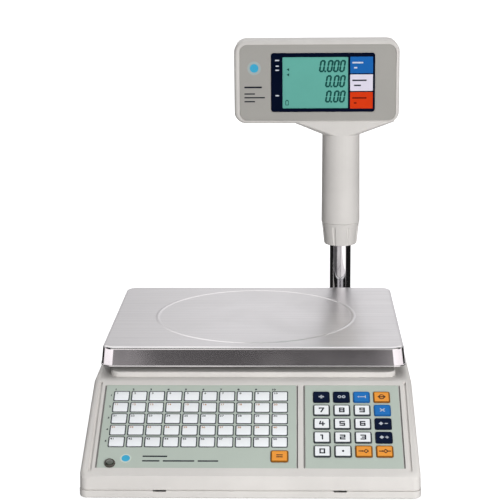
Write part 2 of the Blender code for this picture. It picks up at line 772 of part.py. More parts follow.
def fluted(radius, depth, count=64):
    """A circle with shallow hollows spaced round it, the first one off the front by half a space."""
    points = []
    for i in range(count):
        a = 2 * math.pi * i / count
        wave = math.cos(COLLAR_FLUTES * (a - math.pi / 2) + math.pi)
        r = radius - depth * max(0.0, wave) ** 2
        points.append((POLE_AT[0] + r * math.cos(a), POLE_AT[1] + r * math.sin(a)))
    return points


def make_lock_collar():
    """The fluted ring that is turned by hand to lock the pole's height."""
    low, high = COLLAR_Z
    small, large = COLLAR_RADII
    inner = circle(*POLE_AT, 0.0176, 64)
    rings = [
        level(fluted(small - 0.0016, 0.0), low),
        level(fluted(small, 0.0010), low + 0.0016),
        level(fluted(large - 0.0004, 0.0012), high - 0.0030),
        level(fluted(large, 0.0), high - 0.0006),
        level(fluted(large - 0.0006, 0.0), high),
        level(inner, high),
        level(inner, low),
    ]
    bm = bmesh.new()
    rows = [[bm.verts.new(p) for p in ring] for ring in rings]
    for lower, upper in zip(rows, rows[1:] + rows[:1]):
        for i in range(len(lower)):
            j = (i + 1) % len(lower)
            bm.faces.new((lower[i], lower[j], upper[j], upper[i]))
    return link("lock_collar", bm, "cover_plastic", (*POLE_AT, low), smooth=True)


# Head

def neck_rings(inset, bottom):
    """The sleeve round the pole, widening into the underside of the head."""
    x, y = POLE_AT
    low, high = SLEEVE_RADII

    def round_ring(radius, z):
        r = radius - inset
        return level(rounded_rect((x - r, x + r), (y - r, y + r), r, 8), z)

    def wide_ring(z):
        span_y = (y - HEAD_HALF_DEPTH + 0.001 + inset, y + HEAD_HALF_DEPTH - 0.001 - inset)
        return level(rounded_rect(grown(FLARE_X, -inset), span_y, 0.012 - inset, 8), z)

    return [
        round_ring(low, bottom),
        round_ring(high, NECK_TOP),
        wide_ring(HEAD_Z[0] + 0.0008),
        wide_ring(HEAD_Z[0] + 0.0060),
    ]


def head_box(inset):
    """The head's rounded box."""
    y = POLE_AT[1]
    half = HEAD_HALF_DEPTH - inset
    rounding = ((0.0045, 0.0), (0.0016, 0.0013), (0.0, 0.0045))
    steps = [(d, -half + e) for d, e in rounding] + [(d, half - e) for d, e in reversed(rounding)]
    rings = []
    for shrink, dy in steps:
        by = -inset - shrink
        outline = rounded_rect(grown(HEAD_X, by), grown(HEAD_Z, by), max(HEAD_CORNER + by, 0.004), 6)
        rings.append(upright(outline, y + dy))
    return loft(rings)


def make_head_shell(name, keep_front):
    """One half of the head with its half of the sleeve."""
    y = POLE_AT[1]
    shell = link(name, head_box(0.0), "cover_plastic", (*POLE_AT, SLEEVE_BOTTOM), smooth=False)
    neck = helper(name + "_neck", loft(neck_rings(0.0, SLEEVE_BOTTOM)))
    boolean(shell, "UNION", neck)
    boolean(shell, "DIFFERENCE", helper(name + "_hollow", head_box(HEAD_WALL)))
    neck_hollow = helper(name + "_neck_hollow", loft(neck_rings(HEAD_WALL, SLEEVE_BOTTOM - 0.01)))
    boolean(shell, "DIFFERENCE", neck_hollow)
    away = (y - GAP / 2, y + 0.1) if keep_front else (y - 0.1, y + GAP / 2)
    half_space = box((-0.2, 0.3), away, (0.1, 0.6))
    boolean(shell, "DIFFERENCE", helper(name + "_half_space", half_space))
    return shell


def head_front():
    return POLE_AT[1] - HEAD_HALF_DEPTH


def front_prism(x, z, y, radius, steps=4):
    """A plate facing front, with round corners."""
    return loft([upright(rounded_rect(x, z, radius, steps), d) for d in y])


def make_head_front_shell():
    shell = make_head_shell("head_front_shell", True)
    front = head_front()
    recess = front_prism(
        grown(FASCIA_X, GAP), grown(FASCIA_Z, GAP), (front - 0.01, front + 0.0014), FASCIA_CORNER)
    boolean(shell, "DIFFERENCE", helper("fascia_recess", recess))
    opening = front_prism(grown(LCD_X, 0.003), grown(LCD_Z, 0.003), (front - 0.01, front + 0.01), 0.002)
    boolean(shell, "DIFFERENCE", helper("lcd_opening", opening))
    return shell


def make_head_fascia():
    """The grey face plate, with an opening for the window."""
    front = head_front()
    fascia = link(
        "head_fascia",
        front_prism(FASCIA_X, FASCIA_Z, (front + 0.0003, front + 0.0011), FASCIA_CORNER), "fascia_grey")
    opening = front_prism(grown(WINDOW_X, GAP), grown(WINDOW_Z, GAP), (front - 0.01, front + 0.01), 0.004)
    boolean(fascia, "DIFFERENCE", helper("window_opening", opening))
    return fascia


def make_display_window():
    """The clear lens with its dark printed border."""
    front = head_front()
    bm = front_prism(WINDOW_X, WINDOW_Z, (front - 0.0002, front + 0.0011), 0.0037)
    return link("display_window", bm, "window_navy")


def make_lcd_panel():
    front = head_front()
    bm = box(LCD_X, (front + 0.0014, front + 0.0050), LCD_Z)
    return link("lcd_panel", bm, "lcd_glass")


def make_display_board():
    """The display's driver board on four posts."""
    front = head_front()
    board = link(
        "display_board",
        box((-0.012, 0.160), (front + 0.0060, front + 0.0076), (0.3640, 0.4480)), "board_green")
    chips = bmesh.new()
    box((0.060, 0.084), (front + 0.0070, front + 0.0110), (0.3900, 0.4020), chips)
    box((0.100, 0.112), (front + 0.0070, front + 0.0100), (0.4160, 0.4280), chips)
    boolean(board, "UNION", helper("display_chips", chips))
    return board


def main():
    for obj in list(bpy.data.objects):
        bpy.data.objects.remove(obj)
    windows = make_key_windows()
    vial_bore = make_vial_bore()
    make_bottom_cover()
    make_top_cover(windows, vial_bore)
    make_preset_overlay(windows, vial_bore)
    make_numeric_overlay(windows)
    for place in key_places():
        make_key(*place)
    make_key_mat()
    make_keypad_board()
    make_level_vial()
    make_level_bezel()
    make_platter()
    make_platform_spider()
    make_platter_pads()
    make_load_riser()
    make_load_cell()
    make_load_cell_pedestal()
    make_feet()
    make_main_board()
    make_transformer()
    make_battery()
    make_power_inlet()
    make_switch_housing()
    make_switch_rocker()
    make_serial_port()
    make_pole_bracket()
    make_pole_screw()
    make_pole_tube()
    make_pole_bush()
    make_lock_collar()
    make_head_front_shell()
    make_head_shell("head_rear_shell", False)
    make_head_fascia()
    make_display_window()
    make_lcd_panel()
    make_display_board()


main()
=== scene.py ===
"""Looks of a price computing scale with a pole display, built round its CAD frame."""
import json
import math

import bpy
from bpy.props import FloatProperty, FloatVectorProperty, IntProperty, PointerProperty
from mathutils import Matrix, Vector

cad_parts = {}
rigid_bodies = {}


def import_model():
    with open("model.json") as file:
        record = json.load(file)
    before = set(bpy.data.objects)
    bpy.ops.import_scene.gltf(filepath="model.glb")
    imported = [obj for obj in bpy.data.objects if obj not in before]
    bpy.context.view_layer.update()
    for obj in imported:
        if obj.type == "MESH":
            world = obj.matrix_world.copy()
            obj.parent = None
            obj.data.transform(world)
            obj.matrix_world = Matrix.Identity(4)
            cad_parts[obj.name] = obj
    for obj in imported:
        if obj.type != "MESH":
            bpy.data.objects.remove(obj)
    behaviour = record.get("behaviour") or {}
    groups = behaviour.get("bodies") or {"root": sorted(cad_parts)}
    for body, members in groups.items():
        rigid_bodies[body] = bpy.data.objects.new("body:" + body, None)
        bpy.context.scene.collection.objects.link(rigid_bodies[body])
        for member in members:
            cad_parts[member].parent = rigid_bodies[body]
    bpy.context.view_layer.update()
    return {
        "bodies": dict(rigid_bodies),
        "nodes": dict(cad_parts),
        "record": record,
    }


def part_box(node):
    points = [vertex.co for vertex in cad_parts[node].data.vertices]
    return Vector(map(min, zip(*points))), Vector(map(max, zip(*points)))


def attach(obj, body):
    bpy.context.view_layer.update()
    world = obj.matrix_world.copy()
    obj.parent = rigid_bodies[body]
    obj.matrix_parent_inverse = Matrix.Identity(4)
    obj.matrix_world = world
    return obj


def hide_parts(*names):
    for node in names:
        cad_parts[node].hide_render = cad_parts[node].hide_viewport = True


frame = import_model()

bl_info = {
    "name": "Price Computing Scale",
    "version": (1, 0, 0),
    "blender": (4, 5, 0),
    "location": "3D View > Sidebar > Scale",
    "description": "Builds the surfaces of a counter scale with a pole display round its frame",
    "category": "Add Mesh",
}

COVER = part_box("top_cover")
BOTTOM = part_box("bottom_cover")
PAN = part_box("platter")
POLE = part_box("pole_tube")
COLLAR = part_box("lock_collar")
SHELL_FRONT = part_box("head_front_shell")
SHELL_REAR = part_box("head_rear_shell")
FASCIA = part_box("head_fascia")
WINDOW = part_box("display_window")
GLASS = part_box("lcd_panel")
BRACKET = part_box("pole_bracket")
POLE_AXIS = Vector(((POLE[0].x + POLE[1].x) / 2, (POLE[0].y + POLE[1].y) / 2, 0.0))
PAN_MIDDLE = (PAN[0] + PAN[1]) / 2

# Sizes that several pieces share, in metres
PLATEAU_HEIGHT = 0.0059
DECK = COVER[1].z - PLATEAU_HEIGHT
WALL = 0.0026
FILM = 0.0006
FLANGE = Vector((0.0012, 0.0011, 0.0))
GAP = 0.0003
GROOVE = 0.0023
RELEASE_X, RELEASE_WIDTH = 0.0975, 0.0140
PRINT = 0.0001
INLAY = 0.00006
BEYOND = 0.3


# Settings

def colour(name, description, default):
    """A colour setting."""
    return FloatVectorProperty(
        name=name, description=description, default=default, subtype="COLOR", size=3, min=0.0, max=1.0)


def length(name, description, default):
    """A length setting."""
    return FloatProperty(name=name, description=description, default=default, min=0.0, unit="LENGTH")


def turn(name, description, degrees):
    """An angle setting."""
    return FloatProperty(name=name, description=description, default=math.radians(degrees), subtype="ANGLE")


def amount(name, description, default):
    """A plain number setting."""
    return FloatProperty(name=name, description=description, default=default)


class ScaleColours(bpy.types.PropertyGroup):
    """Colours of the finishes."""
    cover: colour("Cover", "Moulded covers, sleeve and head", (0.675, 0.652, 0.627))
    film: colour("Film", "Printed film round the keys", (0.485, 0.548, 0.492))
    fascia: colour("Fascia", "Face plate of the head", (0.368, 0.358, 0.335))
    outline: colour("Outline", "Printed outline of the keys", (0.050, 0.056, 0.064))
    key_white: colour("White keys", "Number keys and preset fields", (0.90, 0.925, 0.95))
    key_navy: colour("Navy keys", "Dark function keys", (0.003, 0.008, 0.030))
    key_blue: colour("Blue keys", "Blue function keys", (0.022, 0.175, 0.52))
    key_orange: colour("Orange keys", "Zero, tare, mode and set keys", (0.86, 0.33, 0.050))
    ink: colour("Ink", "Printed numbers", (0.012, 0.014, 0.024))
    window: colour("Window", "Printed border of the display window", (0.0006, 0.0030, 0.0150))
    glass: colour("Display glass", "Liquid crystal background", (0.125, 0.420, 0.355))
    segment: colour("Segments", "Liquid crystal segments", (0.010, 0.070, 0.062))
    label_blue: colour("Upper label", "Label beside the top row of figures", (0.013, 0.130, 0.440))
    label_white: colour("Middle label", "Label beside the middle row of figures", (0.76, 0.72, 0.84))
    label_red: colour("Lower label", "Label beside the bottom row of figures", (0.70, 0.045, 0.007))
    badge: colour("Badge", "Plain round badge", (0.06, 0.42, 0.66))


class ScaleSizes(bpy.types.PropertyGroup):
    """Sizes of the details that the frame doesn't give."""
    slope: turn("Panel slope", "Slope of the keypad panel", 28.0)
    corner: length("Corner", "Radius of the casing's upright corners", 0.009)
    shoulder: length("Shoulder", "Radius along the casing's upper edges", 0.0045)
    softness: length("Softness", "Radius of small moulded edges", 0.00035)
    pan_corner: length("Pan corner", "Radius of the pan's corners", 0.014)
    pan_edge: length("Pan edge", "Bend radius round the pan's top", 0.0036)
    pan_flare: length("Pan flare", "How far the pan's skirt leans out", 0.002)
    sheet: length("Sheet", "Thickness of the pan's steel", 0.0012)
    ring: length("Ring", "Radius of the bead pressed into the pan", 0.1215)
    key_outline: length("Key outline", "Width of the dark line round a key", 0.0010)
    film_gap: length("Film gap", "Gap at the films' left and right edges", 0.0012)
    field_outline: length("Field outline", "Width of the dark line round a preset field", 0.00125)
    digit_height: length("Figure height", "Height of the display's figures", 0.0161)
    stroke: length("Stroke", "Width of a figure's segments", 0.0024)
    slant: turn("Slant", "Lean of the display's figures", 9.0)
    flutes: IntProperty(name="Flutes", description="Hollows round the lock collar", default=8, min=3, max=24)


class ScaleStage(bpy.types.PropertyGroup):
    """Camera and light."""
    lens: FloatProperty(name="Lens", description="Focal length", default=108.39, unit="CAMERA")
    place: FloatVectorProperty(
        name="Place", description="Where the camera stands", default=(0.0506, -1.7673, 0.6337),
        subtype="TRANSLATION", size=3)
    yaw: turn("Yaw", "Turn of the camera to the left", 1.809)
    pitch: turn("Pitch", "Tilt of the camera downwards", 12.952)
    roll: turn("Roll", "Turn of the camera about its own line of sight", -0.470)
    ambient: amount("Ambient", "Strength of the even light", 0.24)
    floor_glow: amount("Floor glow", "Strength of the floor's own light", 0.90)
    key_power: amount("Key light", "Power of the main soft light", 48.0)
    fill_power: amount("Fill light", "Power of the side light", 2.0)
    top_power: amount("Top light", "Power of the overhead light", 17.0)
    rear_power: amount("Rear light", "Power of the light behind the scale", 14.0)


# Modelling helpers

def rest():
    """Leaves edit mode and selects nothing."""
    if bpy.context.object and bpy.context.object.mode != "OBJECT":
        bpy.ops.object.mode_set(mode="OBJECT")
    bpy.ops.object.select_all(action="DESELECT")


def activate(obj):
    """Makes obj the only selected object."""
    rest()
    obj.select_set(True)
    bpy.context.view_layer.objects.active = obj


def edit(obj, kind="VERT", action="SELECT"):
    """Opens edit mode on obj in one select mode, with everything or nothing selected."""
    activate(obj)
    bpy.ops.object.mode_set(mode="EDIT")
    bpy.ops.mesh.select_mode(type=kind)
    bpy.ops.mesh.select_all(action=action)


def settle(obj, name=None):
    """Puts an object's place into its mesh, and names it."""
    activate(obj)
    bpy.ops.object.transform_apply(location=True, rotation=True, scale=True)
    if name:
        obj.name = name
        obj.data.name = name
    return obj


def modify(obj, kind, **values):
    """Adds one modifier with the given settings and applies it."""
    activate(obj)
    modifier = obj.modifiers.new(kind.title(), kind)
    for key, value in values.items():
        setattr(modifier, key, value)
    bpy.ops.object.modifier_apply(modifier=modifier.name)
    return obj


def combine(obj, other, operation="DIFFERENCE"):
    """A Boolean with another object, which is then removed."""
    modify(obj, "BOOLEAN", operation=operation, solver="EXACT", object=other)
    bpy.data.objects.remove(other)
    return obj


def join(objects, name):
    """Joins objects into one."""
    if len(objects) == 1:
        return settle(objects[0], name)
    activate(objects[0])
    for obj in objects:
        obj.select_set(True)
    bpy.ops.object.join()
    return settle(bpy.context.object, name)


def copy(obj, move, name=None):
    """A copy with its own mesh, moved."""
    made = obj.copy()
    made.data = obj.data.copy()
    bpy.context.scene.collection.objects.link(made)
    made.location = made.location + Vector(move)
    return settle(made, name or obj.name)


def select_edges(obj, test):
    """Opens edit mode with only the edges whose two ends pass the test selected."""
    edit(obj, "EDGE", "DESELECT")
    bpy.ops.object.mode_set(mode="OBJECT")
    points = obj.data.vertices
    for edge in obj.data.edges:
        edge.select = test(points[edge.vertices[0]].co, points[edge.vertices[1]].co)
    bpy.ops.object.mode_set(mode="EDIT")


def select_faces(obj, test):
    """Opens edit mode with only the faces that pass the test selected."""
    edit(obj, "FACE", "DESELECT")
    bpy.ops.object.mode_set(mode="OBJECT")
    for face in obj.data.polygons:
        face.select = test(face)
    bpy.ops.object.mode_set(mode="EDIT")


def round_edges(obj, test, radius, segments):
    """Bevels the chosen edges."""
    select_edges(obj, test)
    bpy.ops.mesh.bevel(offset=radius, segments=segments, profile=0.5, affect="EDGES")
    rest()
    return obj


def along(axis, tolerance=1e-5):
    """A test for edges that run along one axis, 0, 1 or 2."""
    def test(a, b):
        d = b - a
        return d.length > 1e-6 and d.length - abs(d[axis]) < tolerance
    return test


def at_height(axis, value, tolerance=2e-5):
    """A test for edges that lie at one value of an axis."""
    return lambda a, b: abs(a[axis] - value) < tolerance and abs(b[axis] - value) < tolerance


def block(low, high):
    """A cuboid between two corners."""
    rest()
    low, high = Vector(low), Vector(high)
    bpy.ops.mesh.primitive_cube_add(size=1.0, location=(low + high) / 2)
    obj = bpy.context.object
    obj.scale = high - low
    return settle(obj)


def plate(low, high, corner, axis=2, segments=5):
    """A cuboid whose edges along one axis are rounded."""
    return round_edges(block(low, high), along(axis), corner, segments)


def rod(start, end, radius, count=32):
    """A cylinder between two points."""
    rest()
    start, end = Vector(start), Vector(end)
    line = end - start
    bpy.ops.mesh.primitive_cylinder_add(
        vertices=count, radius=radius, depth=line.length, location=(start + end) / 2,
        rotation=line.to_track_quat("Z", "Y").to_euler())
    return settle(bpy.context.object)


def face_outwards():
    """Turns the faces of the shape in edit mode outwards, and leaves edit mode."""
    bpy.ops.mesh.select_all(action="SELECT")
    bpy.ops.mesh.normals_make_consistent(inside=False)
    rest()


def turned(profile, at=(0, 0, 0), count=48, closed=False, facing=None):
    """A shape turned about Z from (radius, height) points, then turned to face along a direction."""
    rest()
    first = profile[0]
    bpy.ops.mesh.primitive_circle_add(vertices=count, radius=first[0], location=(0, 0, first[1]))
    obj = settle(bpy.context.object)
    edit(obj)
    points = list(profile[1:]) + ([first] if closed else [])
    last = first
    for radius, height in points:
        bpy.ops.mesh.extrude_region_move(
            TRANSFORM_OT_translate={"value": (0, 0, height - last[1])})
        k = radius / last[0]
        bpy.ops.transform.resize(value=(k, k, 1), center_override=(0, 0, height))
        last = (radius, height)
    bpy.ops.mesh.select_all(action="SELECT")
    if closed:
        bpy.ops.mesh.remove_doubles(threshold=1e-6)
    else:
        bpy.ops.mesh.fill_holes(sides=0)
    face_outwards()
    if facing:
        obj.rotation_euler = Vector(facing).to_track_quat("Z", "Y").to_euler()
    obj.location = at
    return settle(obj)


def close_seams(obj, distance=1e-6):
    """Merges points that lie on each other, then turns all faces outwards."""
    edit(obj)
    bpy.ops.mesh.remove_doubles(threshold=distance)
    face_outwards()
    return obj


def smooth(obj, degrees=35.0, weighted=True):
    """Smooth shading that keeps flat faces flat."""
    activate(obj)
    bpy.ops.object.shade_smooth_by_angle(angle=math.radians(degrees))
    if weighted:
        modify(obj, "WEIGHTED_NORMAL", keep_sharp=True, weight=80)
    return obj


def soften(obj, width, segments=2, degrees=35.0):
    """Eases every sharp edge a little, then shades it."""
    modify(
        obj, "BEVEL", width=width, segments=segments, limit_method="ANGLE",
        angle_limit=math.radians(degrees), use_clamp_overlap=True)
    return smooth(obj)


def domed_screw(at, radius):
    """A domed screw head with a cross slot, facing the rear."""
    x, y, z = at
    head = turned([
        (radius, 0.0), (radius, 0.0006), (radius * 0.8, 0.0014), (radius * 0.4, 0.0018)],
        at, 24, facing=(0, 1, 0))
    for dx, dz in ((0.6, 0.12), (0.12, 0.6)):
        combine(head, block(
            (x - radius * dx, y + 0.0009, z - radius * dz), (x + radius * dx, y + 0.004, z + radius * dz)))
    return head


def place(obj, matrix):
    """Moves a finished flat piece by a matrix, into its mesh."""
    obj.matrix_world = matrix @ obj.matrix_world
    return settle(obj)


def write(text, size, matrix, bold=0.0, wide=1.0, raised=0.00008):
    """A printed number or sign, lying in the matrix's XY plane and facing its Z."""
    rest()
    bpy.ops.object.text_add()
    obj = bpy.context.object
    data = obj.data
    data.body, data.size = text, size
    data.align_x, data.align_y = "CENTER", "CENTER"
    data.extrude, data.offset, data.resolution_u = raised, bold, 3
    activate(obj)
    bpy.ops.object.convert(target="MESH")
    obj = bpy.context.object
    obj.scale = (wide, 1.0, 1.0)
    settle(obj, "number")
    close_seams(obj)
    return place(obj, matrix)


def finish_piece(obj, name, body, material, slot, nodes=()):
    """Names a piece, gives it its material, and fixes it to its body."""
    obj.name = name
    obj.data.name = name
    if isinstance(material, (list, tuple)):
        for i, one in enumerate(material):
            if i < len(obj.data.materials):
                obj.data.materials[i] = one
            else:
                obj.data.materials.append(one)
    else:
        obj.data.materials.clear()
        obj.data.materials.append(material)
    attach(obj, body)
    if nodes:
        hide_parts(*nodes)
    return obj


def finish_cover(obj, name, body, node):
    """Finishes a piece of the pale moulded housing."""
    return finish_piece(obj, name, body, cover_material(), "cover_plastic", [node])


def finish_set(pieces, name, body, material, slot="steel"):
    """Joins small pieces that are alike into one finished piece."""
    return finish_piece(smooth(join(pieces, name)), name, body, material, slot)


def sizes():
    return bpy.context.scene.scale_sizes


def colours():
    return bpy.context.scene.scale_colours


def panel_frame():
    """The keypad panel's axes: X across, Y up the slope, Z off the face of the film."""
    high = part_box("numeric_overlay")[1]
    slope = sizes().slope
    origin = Vector((0.0, high.y - FILM * math.sin(slope), high.z))
    return Matrix.Translation(origin) @ Matrix.Rotation(slope, 4, "X")


def panel_span(node, above=None):
    """The box of a CAD node in the panel's axes, or of its points above one level."""
    inverse = panel_frame().inverted()
    points = [inverse @ v.co for v in frame["nodes"][node].data.vertices]
    if above is not None:
        points = [p for p in points if p.z > above]
    low = Vector(min(p[i] for p in points) for i in range(3))
    high = Vector(max(p[i] for p in points) for i in range(3))
    return low, high


def key_bodies():
    return sorted(b for b in frame["bodies"] if b.startswith("key_"))


def cap_span(key):
    """The box of a key's cap in the panel's axes, without the flange under the panel."""
    low, high = panel_span(key)
    return low + FLANGE, high - FLANGE


# Shader effects

def new_group(name, inputs, outputs):
    """An empty shader group with its sockets and its two end nodes."""
    tree = bpy.data.node_groups.new(name, "ShaderNodeTree")
    for label, kind, value in inputs:
        socket = tree.interface.new_socket(label, in_out="INPUT", socket_type="NodeSocket" + kind)
        if value is not None:
            socket.default_value = value
    for label, kind in outputs:
        tree.interface.new_socket(label, in_out="OUTPUT", socket_type="NodeSocket" + kind)
    return tree, tree.nodes.new("NodeGroupInput"), tree.nodes.new("NodeGroupOutput")


def add_node(tree, kind, links=(), **values):
    """A node with attributes set, and inputs given as numbers or as sockets."""
    made = tree.nodes.new("ShaderNode" + kind)
    for key, value in values.items():
        setattr(made, key, value)
    for key, value in dict(links).items():
        if isinstance(value, bpy.types.NodeSocket):
            tree.links.new(value, made.inputs[key])
        else:
            made.inputs[key].default_value = value
    return made


def math_node(tree, operation, a, b=None):
    links = {0: a} if b is None else {0: a, 1: b}
    return add_node(tree, "Math", links, operation=operation).outputs[0]


def ramp(tree, value, low, high):
    """Stretches a value so that low becomes 0 and high becomes 1."""
    made = add_node(tree, "MapRange", {"Value": value, "From Min": low, "From Max": high})
    return made.outputs["Result"]


def grain_group():
    """Moulded grain: a fine pebble height, and a slow mottle for colour and gloss."""
    name = "Moulded Grain"
    if name in bpy.data.node_groups:
        return bpy.data.node_groups[name]
    tree, start, end = new_group(
        name, [("Vector", "Vector", None), ("Pebble", "Float", 1800.0), ("Mottle", "Float", 14.0)],
        [("Height", "Float"), ("Mottle", "Float"), ("Fleck", "Float")])
    pebble = add_node(tree, "TexVoronoi", {
        "Vector": start.outputs["Vector"], "Scale": start.outputs["Pebble"]})
    fine = add_node(tree, "TexNoise", {
        "Vector": start.outputs["Vector"], "Scale": start.outputs["Pebble"], "Detail": 3.0})
    slow = add_node(tree, "TexNoise", {
        "Vector": start.outputs["Vector"], "Scale": start.outputs["Mottle"], "Detail": 4.0, "Roughness": 0.6})
    height = math_node(tree, "ADD", pebble.outputs["Distance"], fine.outputs["Fac"])
    tree.links.new(height, end.inputs["Height"])
    tree.links.new(ramp(tree, slow.outputs["Fac"], 0.3, 0.7), end.inputs["Mottle"])
    tree.links.new(ramp(tree, fine.outputs["Fac"], 0.62, 0.78), end.inputs["Fleck"])
    return tree


def edge_group():
    """Edges: a mask where a surface turns sharply, broken up by noise."""
    name = "Edge Wear"
    if name in bpy.data.node_groups:
        return bpy.data.node_groups[name]
    tree, start, end = new_group(
        name, [("Vector", "Vector", None), ("Width", "Float", 0.0012), ("Breakup", "Float", 90.0)],
        [("Edge", "Float")])
    bevel = add_node(tree, "Bevel", {"Radius": start.outputs["Width"]}, samples=4)
    normal = add_node(tree, "NewGeometry")
    sides = {0: bevel.outputs["Normal"], 1: normal.outputs["Normal"]}
    dot = add_node(tree, "VectorMath", sides, operation="DOT_PRODUCT")
    turned_away = ramp(tree, math_node(tree, "SUBTRACT", 1.0, dot.outputs["Value"]), 0.01, 0.16)
    noise = add_node(tree, "TexNoise", {
        "Vector": start.outputs["Vector"], "Scale": start.outputs["Breakup"], "Detail": 5.0})
    broken = ramp(tree, noise.outputs["Fac"], 0.35, 0.62)
    tree.links.new(math_node(tree, "MULTIPLY", turned_away, broken), end.inputs["Edge"])
    return tree


def brushed_group():
    """Brushing: long streaks across one direction, and a few deeper scratches."""
    name = "Brushed Metal"
    if name in bpy.data.node_groups:
        return bpy.data.node_groups[name]
    tree, start, end = new_group(
        name, [("Vector", "Vector", None)], [("Height", "Float"), ("Streak", "Float"), ("Smudge", "Float")])
    squeeze = add_node(tree, "Mapping", {"Vector": start.outputs["Vector"], "Scale": (9.0, 1500.0, 60.0)})
    wide = add_node(tree, "Mapping", {"Vector": start.outputs["Vector"], "Scale": (4.0, 240.0, 30.0)})
    hair = add_node(tree, "TexNoise", {"Vector": squeeze.outputs[0], "Scale": 1.0, "Detail": 4.0})
    band = add_node(tree, "TexNoise", {"Vector": wide.outputs[0], "Scale": 1.0, "Detail": 3.0})
    smudge = add_node(tree, "TexNoise", {
        "Vector": start.outputs["Vector"], "Scale": 9.0, "Detail": 5.0, "Distortion": 0.6})
    tree.links.new(math_node(tree, "ADD", hair.outputs["Fac"], band.outputs["Fac"]), end.inputs["Height"])
    tree.links.new(ramp(tree, band.outputs["Fac"], 0.3, 0.7), end.inputs["Streak"])
    tree.links.new(ramp(tree, smudge.outputs["Fac"], 0.4, 0.75), end.inputs["Smudge"])
    return tree


def place_group(tree, group, vector, **values):
    """Puts one effect in a material."""
    made = tree.nodes.new("ShaderNodeGroup")
    made.node_tree = group
    tree.links.new(vector, made.inputs["Vector"])
    for key, value in values.items():
        made.inputs[key].default_value = value
    return made


# Names of the materials made here begin with this, so that they never meet those of the CAD pieces
LOOK = "look "


def start_material(name, roughness, metallic=0.0, **shader_values):
    """A material with a Principled shader and Object coordinates."""
    material = bpy.data.materials.new(LOOK + name)
    material.use_nodes = True
    tree = material.node_tree
    shader = tree.nodes["Principled BSDF"]
    shader.inputs["Roughness"].default_value = roughness
    shader.inputs["Metallic"].default_value = metallic
    for key, value in shader_values.items():
        shader.inputs[key.replace("_", " ")].default_value = value
    vector = add_node(tree, "TexCoord").outputs["Object"]
    return material, tree, shader, vector


def mixed(tree, factor, a, b):
    """A colour between a and b."""
    made = add_node(tree, "Mix", data_type="RGBA")
    for index, value in ((0, factor), (6, a), (7, b)):
        if isinstance(value, bpy.types.NodeSocket):
            tree.links.new(value, made.inputs[index])
        else:
            made.inputs[index].default_value = value if index == 0 else (*value, 1.0)
    return made.outputs[2]


def bump(tree, shader, height, distance, strength=1.0):
    """Feeds a height to the shader's normal."""
    made = add_node(tree, "Bump", {"Height": height, "Distance": distance, "Strength": strength})
    tree.links.new(made.outputs["Normal"], shader.inputs["Normal"])


def shade(c, k):
    """A colour made darker or lighter."""
    return tuple(min(1.0, x * k) for x in c)


def once(maker):
    """Makes a material once for each name, and gives the same one after that."""
    def made(name, *values, **named):
        if LOOK + name in bpy.data.materials:
            return bpy.data.materials[LOOK + name]
        return maker(name, *values, **named)
    return made


@once
def moulded(name, base, roughness=0.42, pebble=1800.0, depth=0.00002, wear=0.35, variety=0.05,
            **shader_values):
    """Moulded or painted plastic: grain, slow mottle in colour and gloss, paler worn edges."""
    material, tree, shader, vector = start_material(name, roughness, **shader_values)
    grain = place_group(tree, grain_group(), vector, Pebble=pebble)
    tinted = mixed(tree, grain.outputs["Mottle"], shade(base, 1.0 - variety), shade(base, 1.0 + variety))
    flecked = mixed(
        tree, math_node(tree, "MULTIPLY", grain.outputs["Fleck"], 0.25), tinted, shade(base, 0.8))
    if wear:
        edge = place_group(tree, edge_group(), vector)
        worn = math_node(tree, "MULTIPLY", edge.outputs["Edge"], wear)
        flecked = mixed(tree, worn, flecked, shade(base, 1.18))
    tree.links.new(flecked, shader.inputs["Base Color"])
    gloss = add_node(tree, "MapRange", {
        "Value": grain.outputs["Mottle"], "To Min": roughness - 0.05, "To Max": roughness + 0.08})
    tree.links.new(gloss.outputs["Result"], shader.inputs["Roughness"])
    bump(tree, shader, grain.outputs["Height"], depth)
    return material


@once
def brushed_steel(name, base, roughness=0.11):
    """Brushed stainless steel with faint handling marks."""
    material, tree, shader, vector = start_material(name, roughness, 1.0)
    brush = place_group(tree, brushed_group(), vector)
    tinted = mixed(tree, brush.outputs["Streak"], shade(base, 0.93), shade(base, 1.05))
    handled = mixed(tree, brush.outputs["Smudge"], tinted, shade(base, 0.90))
    tree.links.new(handled, shader.inputs["Base Color"])
    gloss = add_node(tree, "MapRange", {
        "Value": brush.outputs["Smudge"], "To Min": roughness - 0.02, "To Max": roughness + 0.06})
    facing = add_node(tree, "SeparateXYZ", {0: add_node(tree, "TexCoord").outputs["Normal"]}).outputs["Z"]
    level = math_node(tree, "MULTIPLY", ramp(tree, facing, 0.3, 0.9), 0.20)
    tree.links.new(
        math_node(tree, "ADD", gloss.outputs["Result"], level), shader.inputs["Roughness"])
    bump(tree, shader, brush.outputs["Height"], 0.000012)
    return material


@once
def polished(name, base, roughness=0.07):
    """Plated or turned metal with fine smudges."""
    material, tree, shader, vector = start_material(name, roughness, 1.0)
    grain = place_group(tree, grain_group(), vector, Pebble=700.0, Mottle=30.0)
    tree.links.new(
        mixed(tree, grain.outputs["Mottle"], shade(base, 0.95), base), shader.inputs["Base Color"])
    gloss = add_node(tree, "MapRange", {
        "Value": grain.outputs["Mottle"], "To Min": roughness * 0.7, "To Max": roughness * 1.6})
    tree.links.new(gloss.outputs["Result"], shader.inputs["Roughness"])
    bump(tree, shader, grain.outputs["Height"], 0.000002)
    return material


def cover_material():
    return moulded("cover_plastic", tuple(colours().cover), 0.40, wear=0.3)


def film_material():
    return moulded(
        "overlay_film", tuple(colours().film), 0.46, 2600.0, 0.000012, 0.0, 0.03, Specular_IOR_Level=0.22)


def key_material(kind):
    base = tuple(getattr(colours(), "key_" + kind))
    gloss = 0.12 if kind in ("white", "orange") else 0.03
    return moulded("key_" + kind, base, 0.34, 2200.0, 0.000008, 0.0, 0.03, Specular_IOR_Level=gloss)


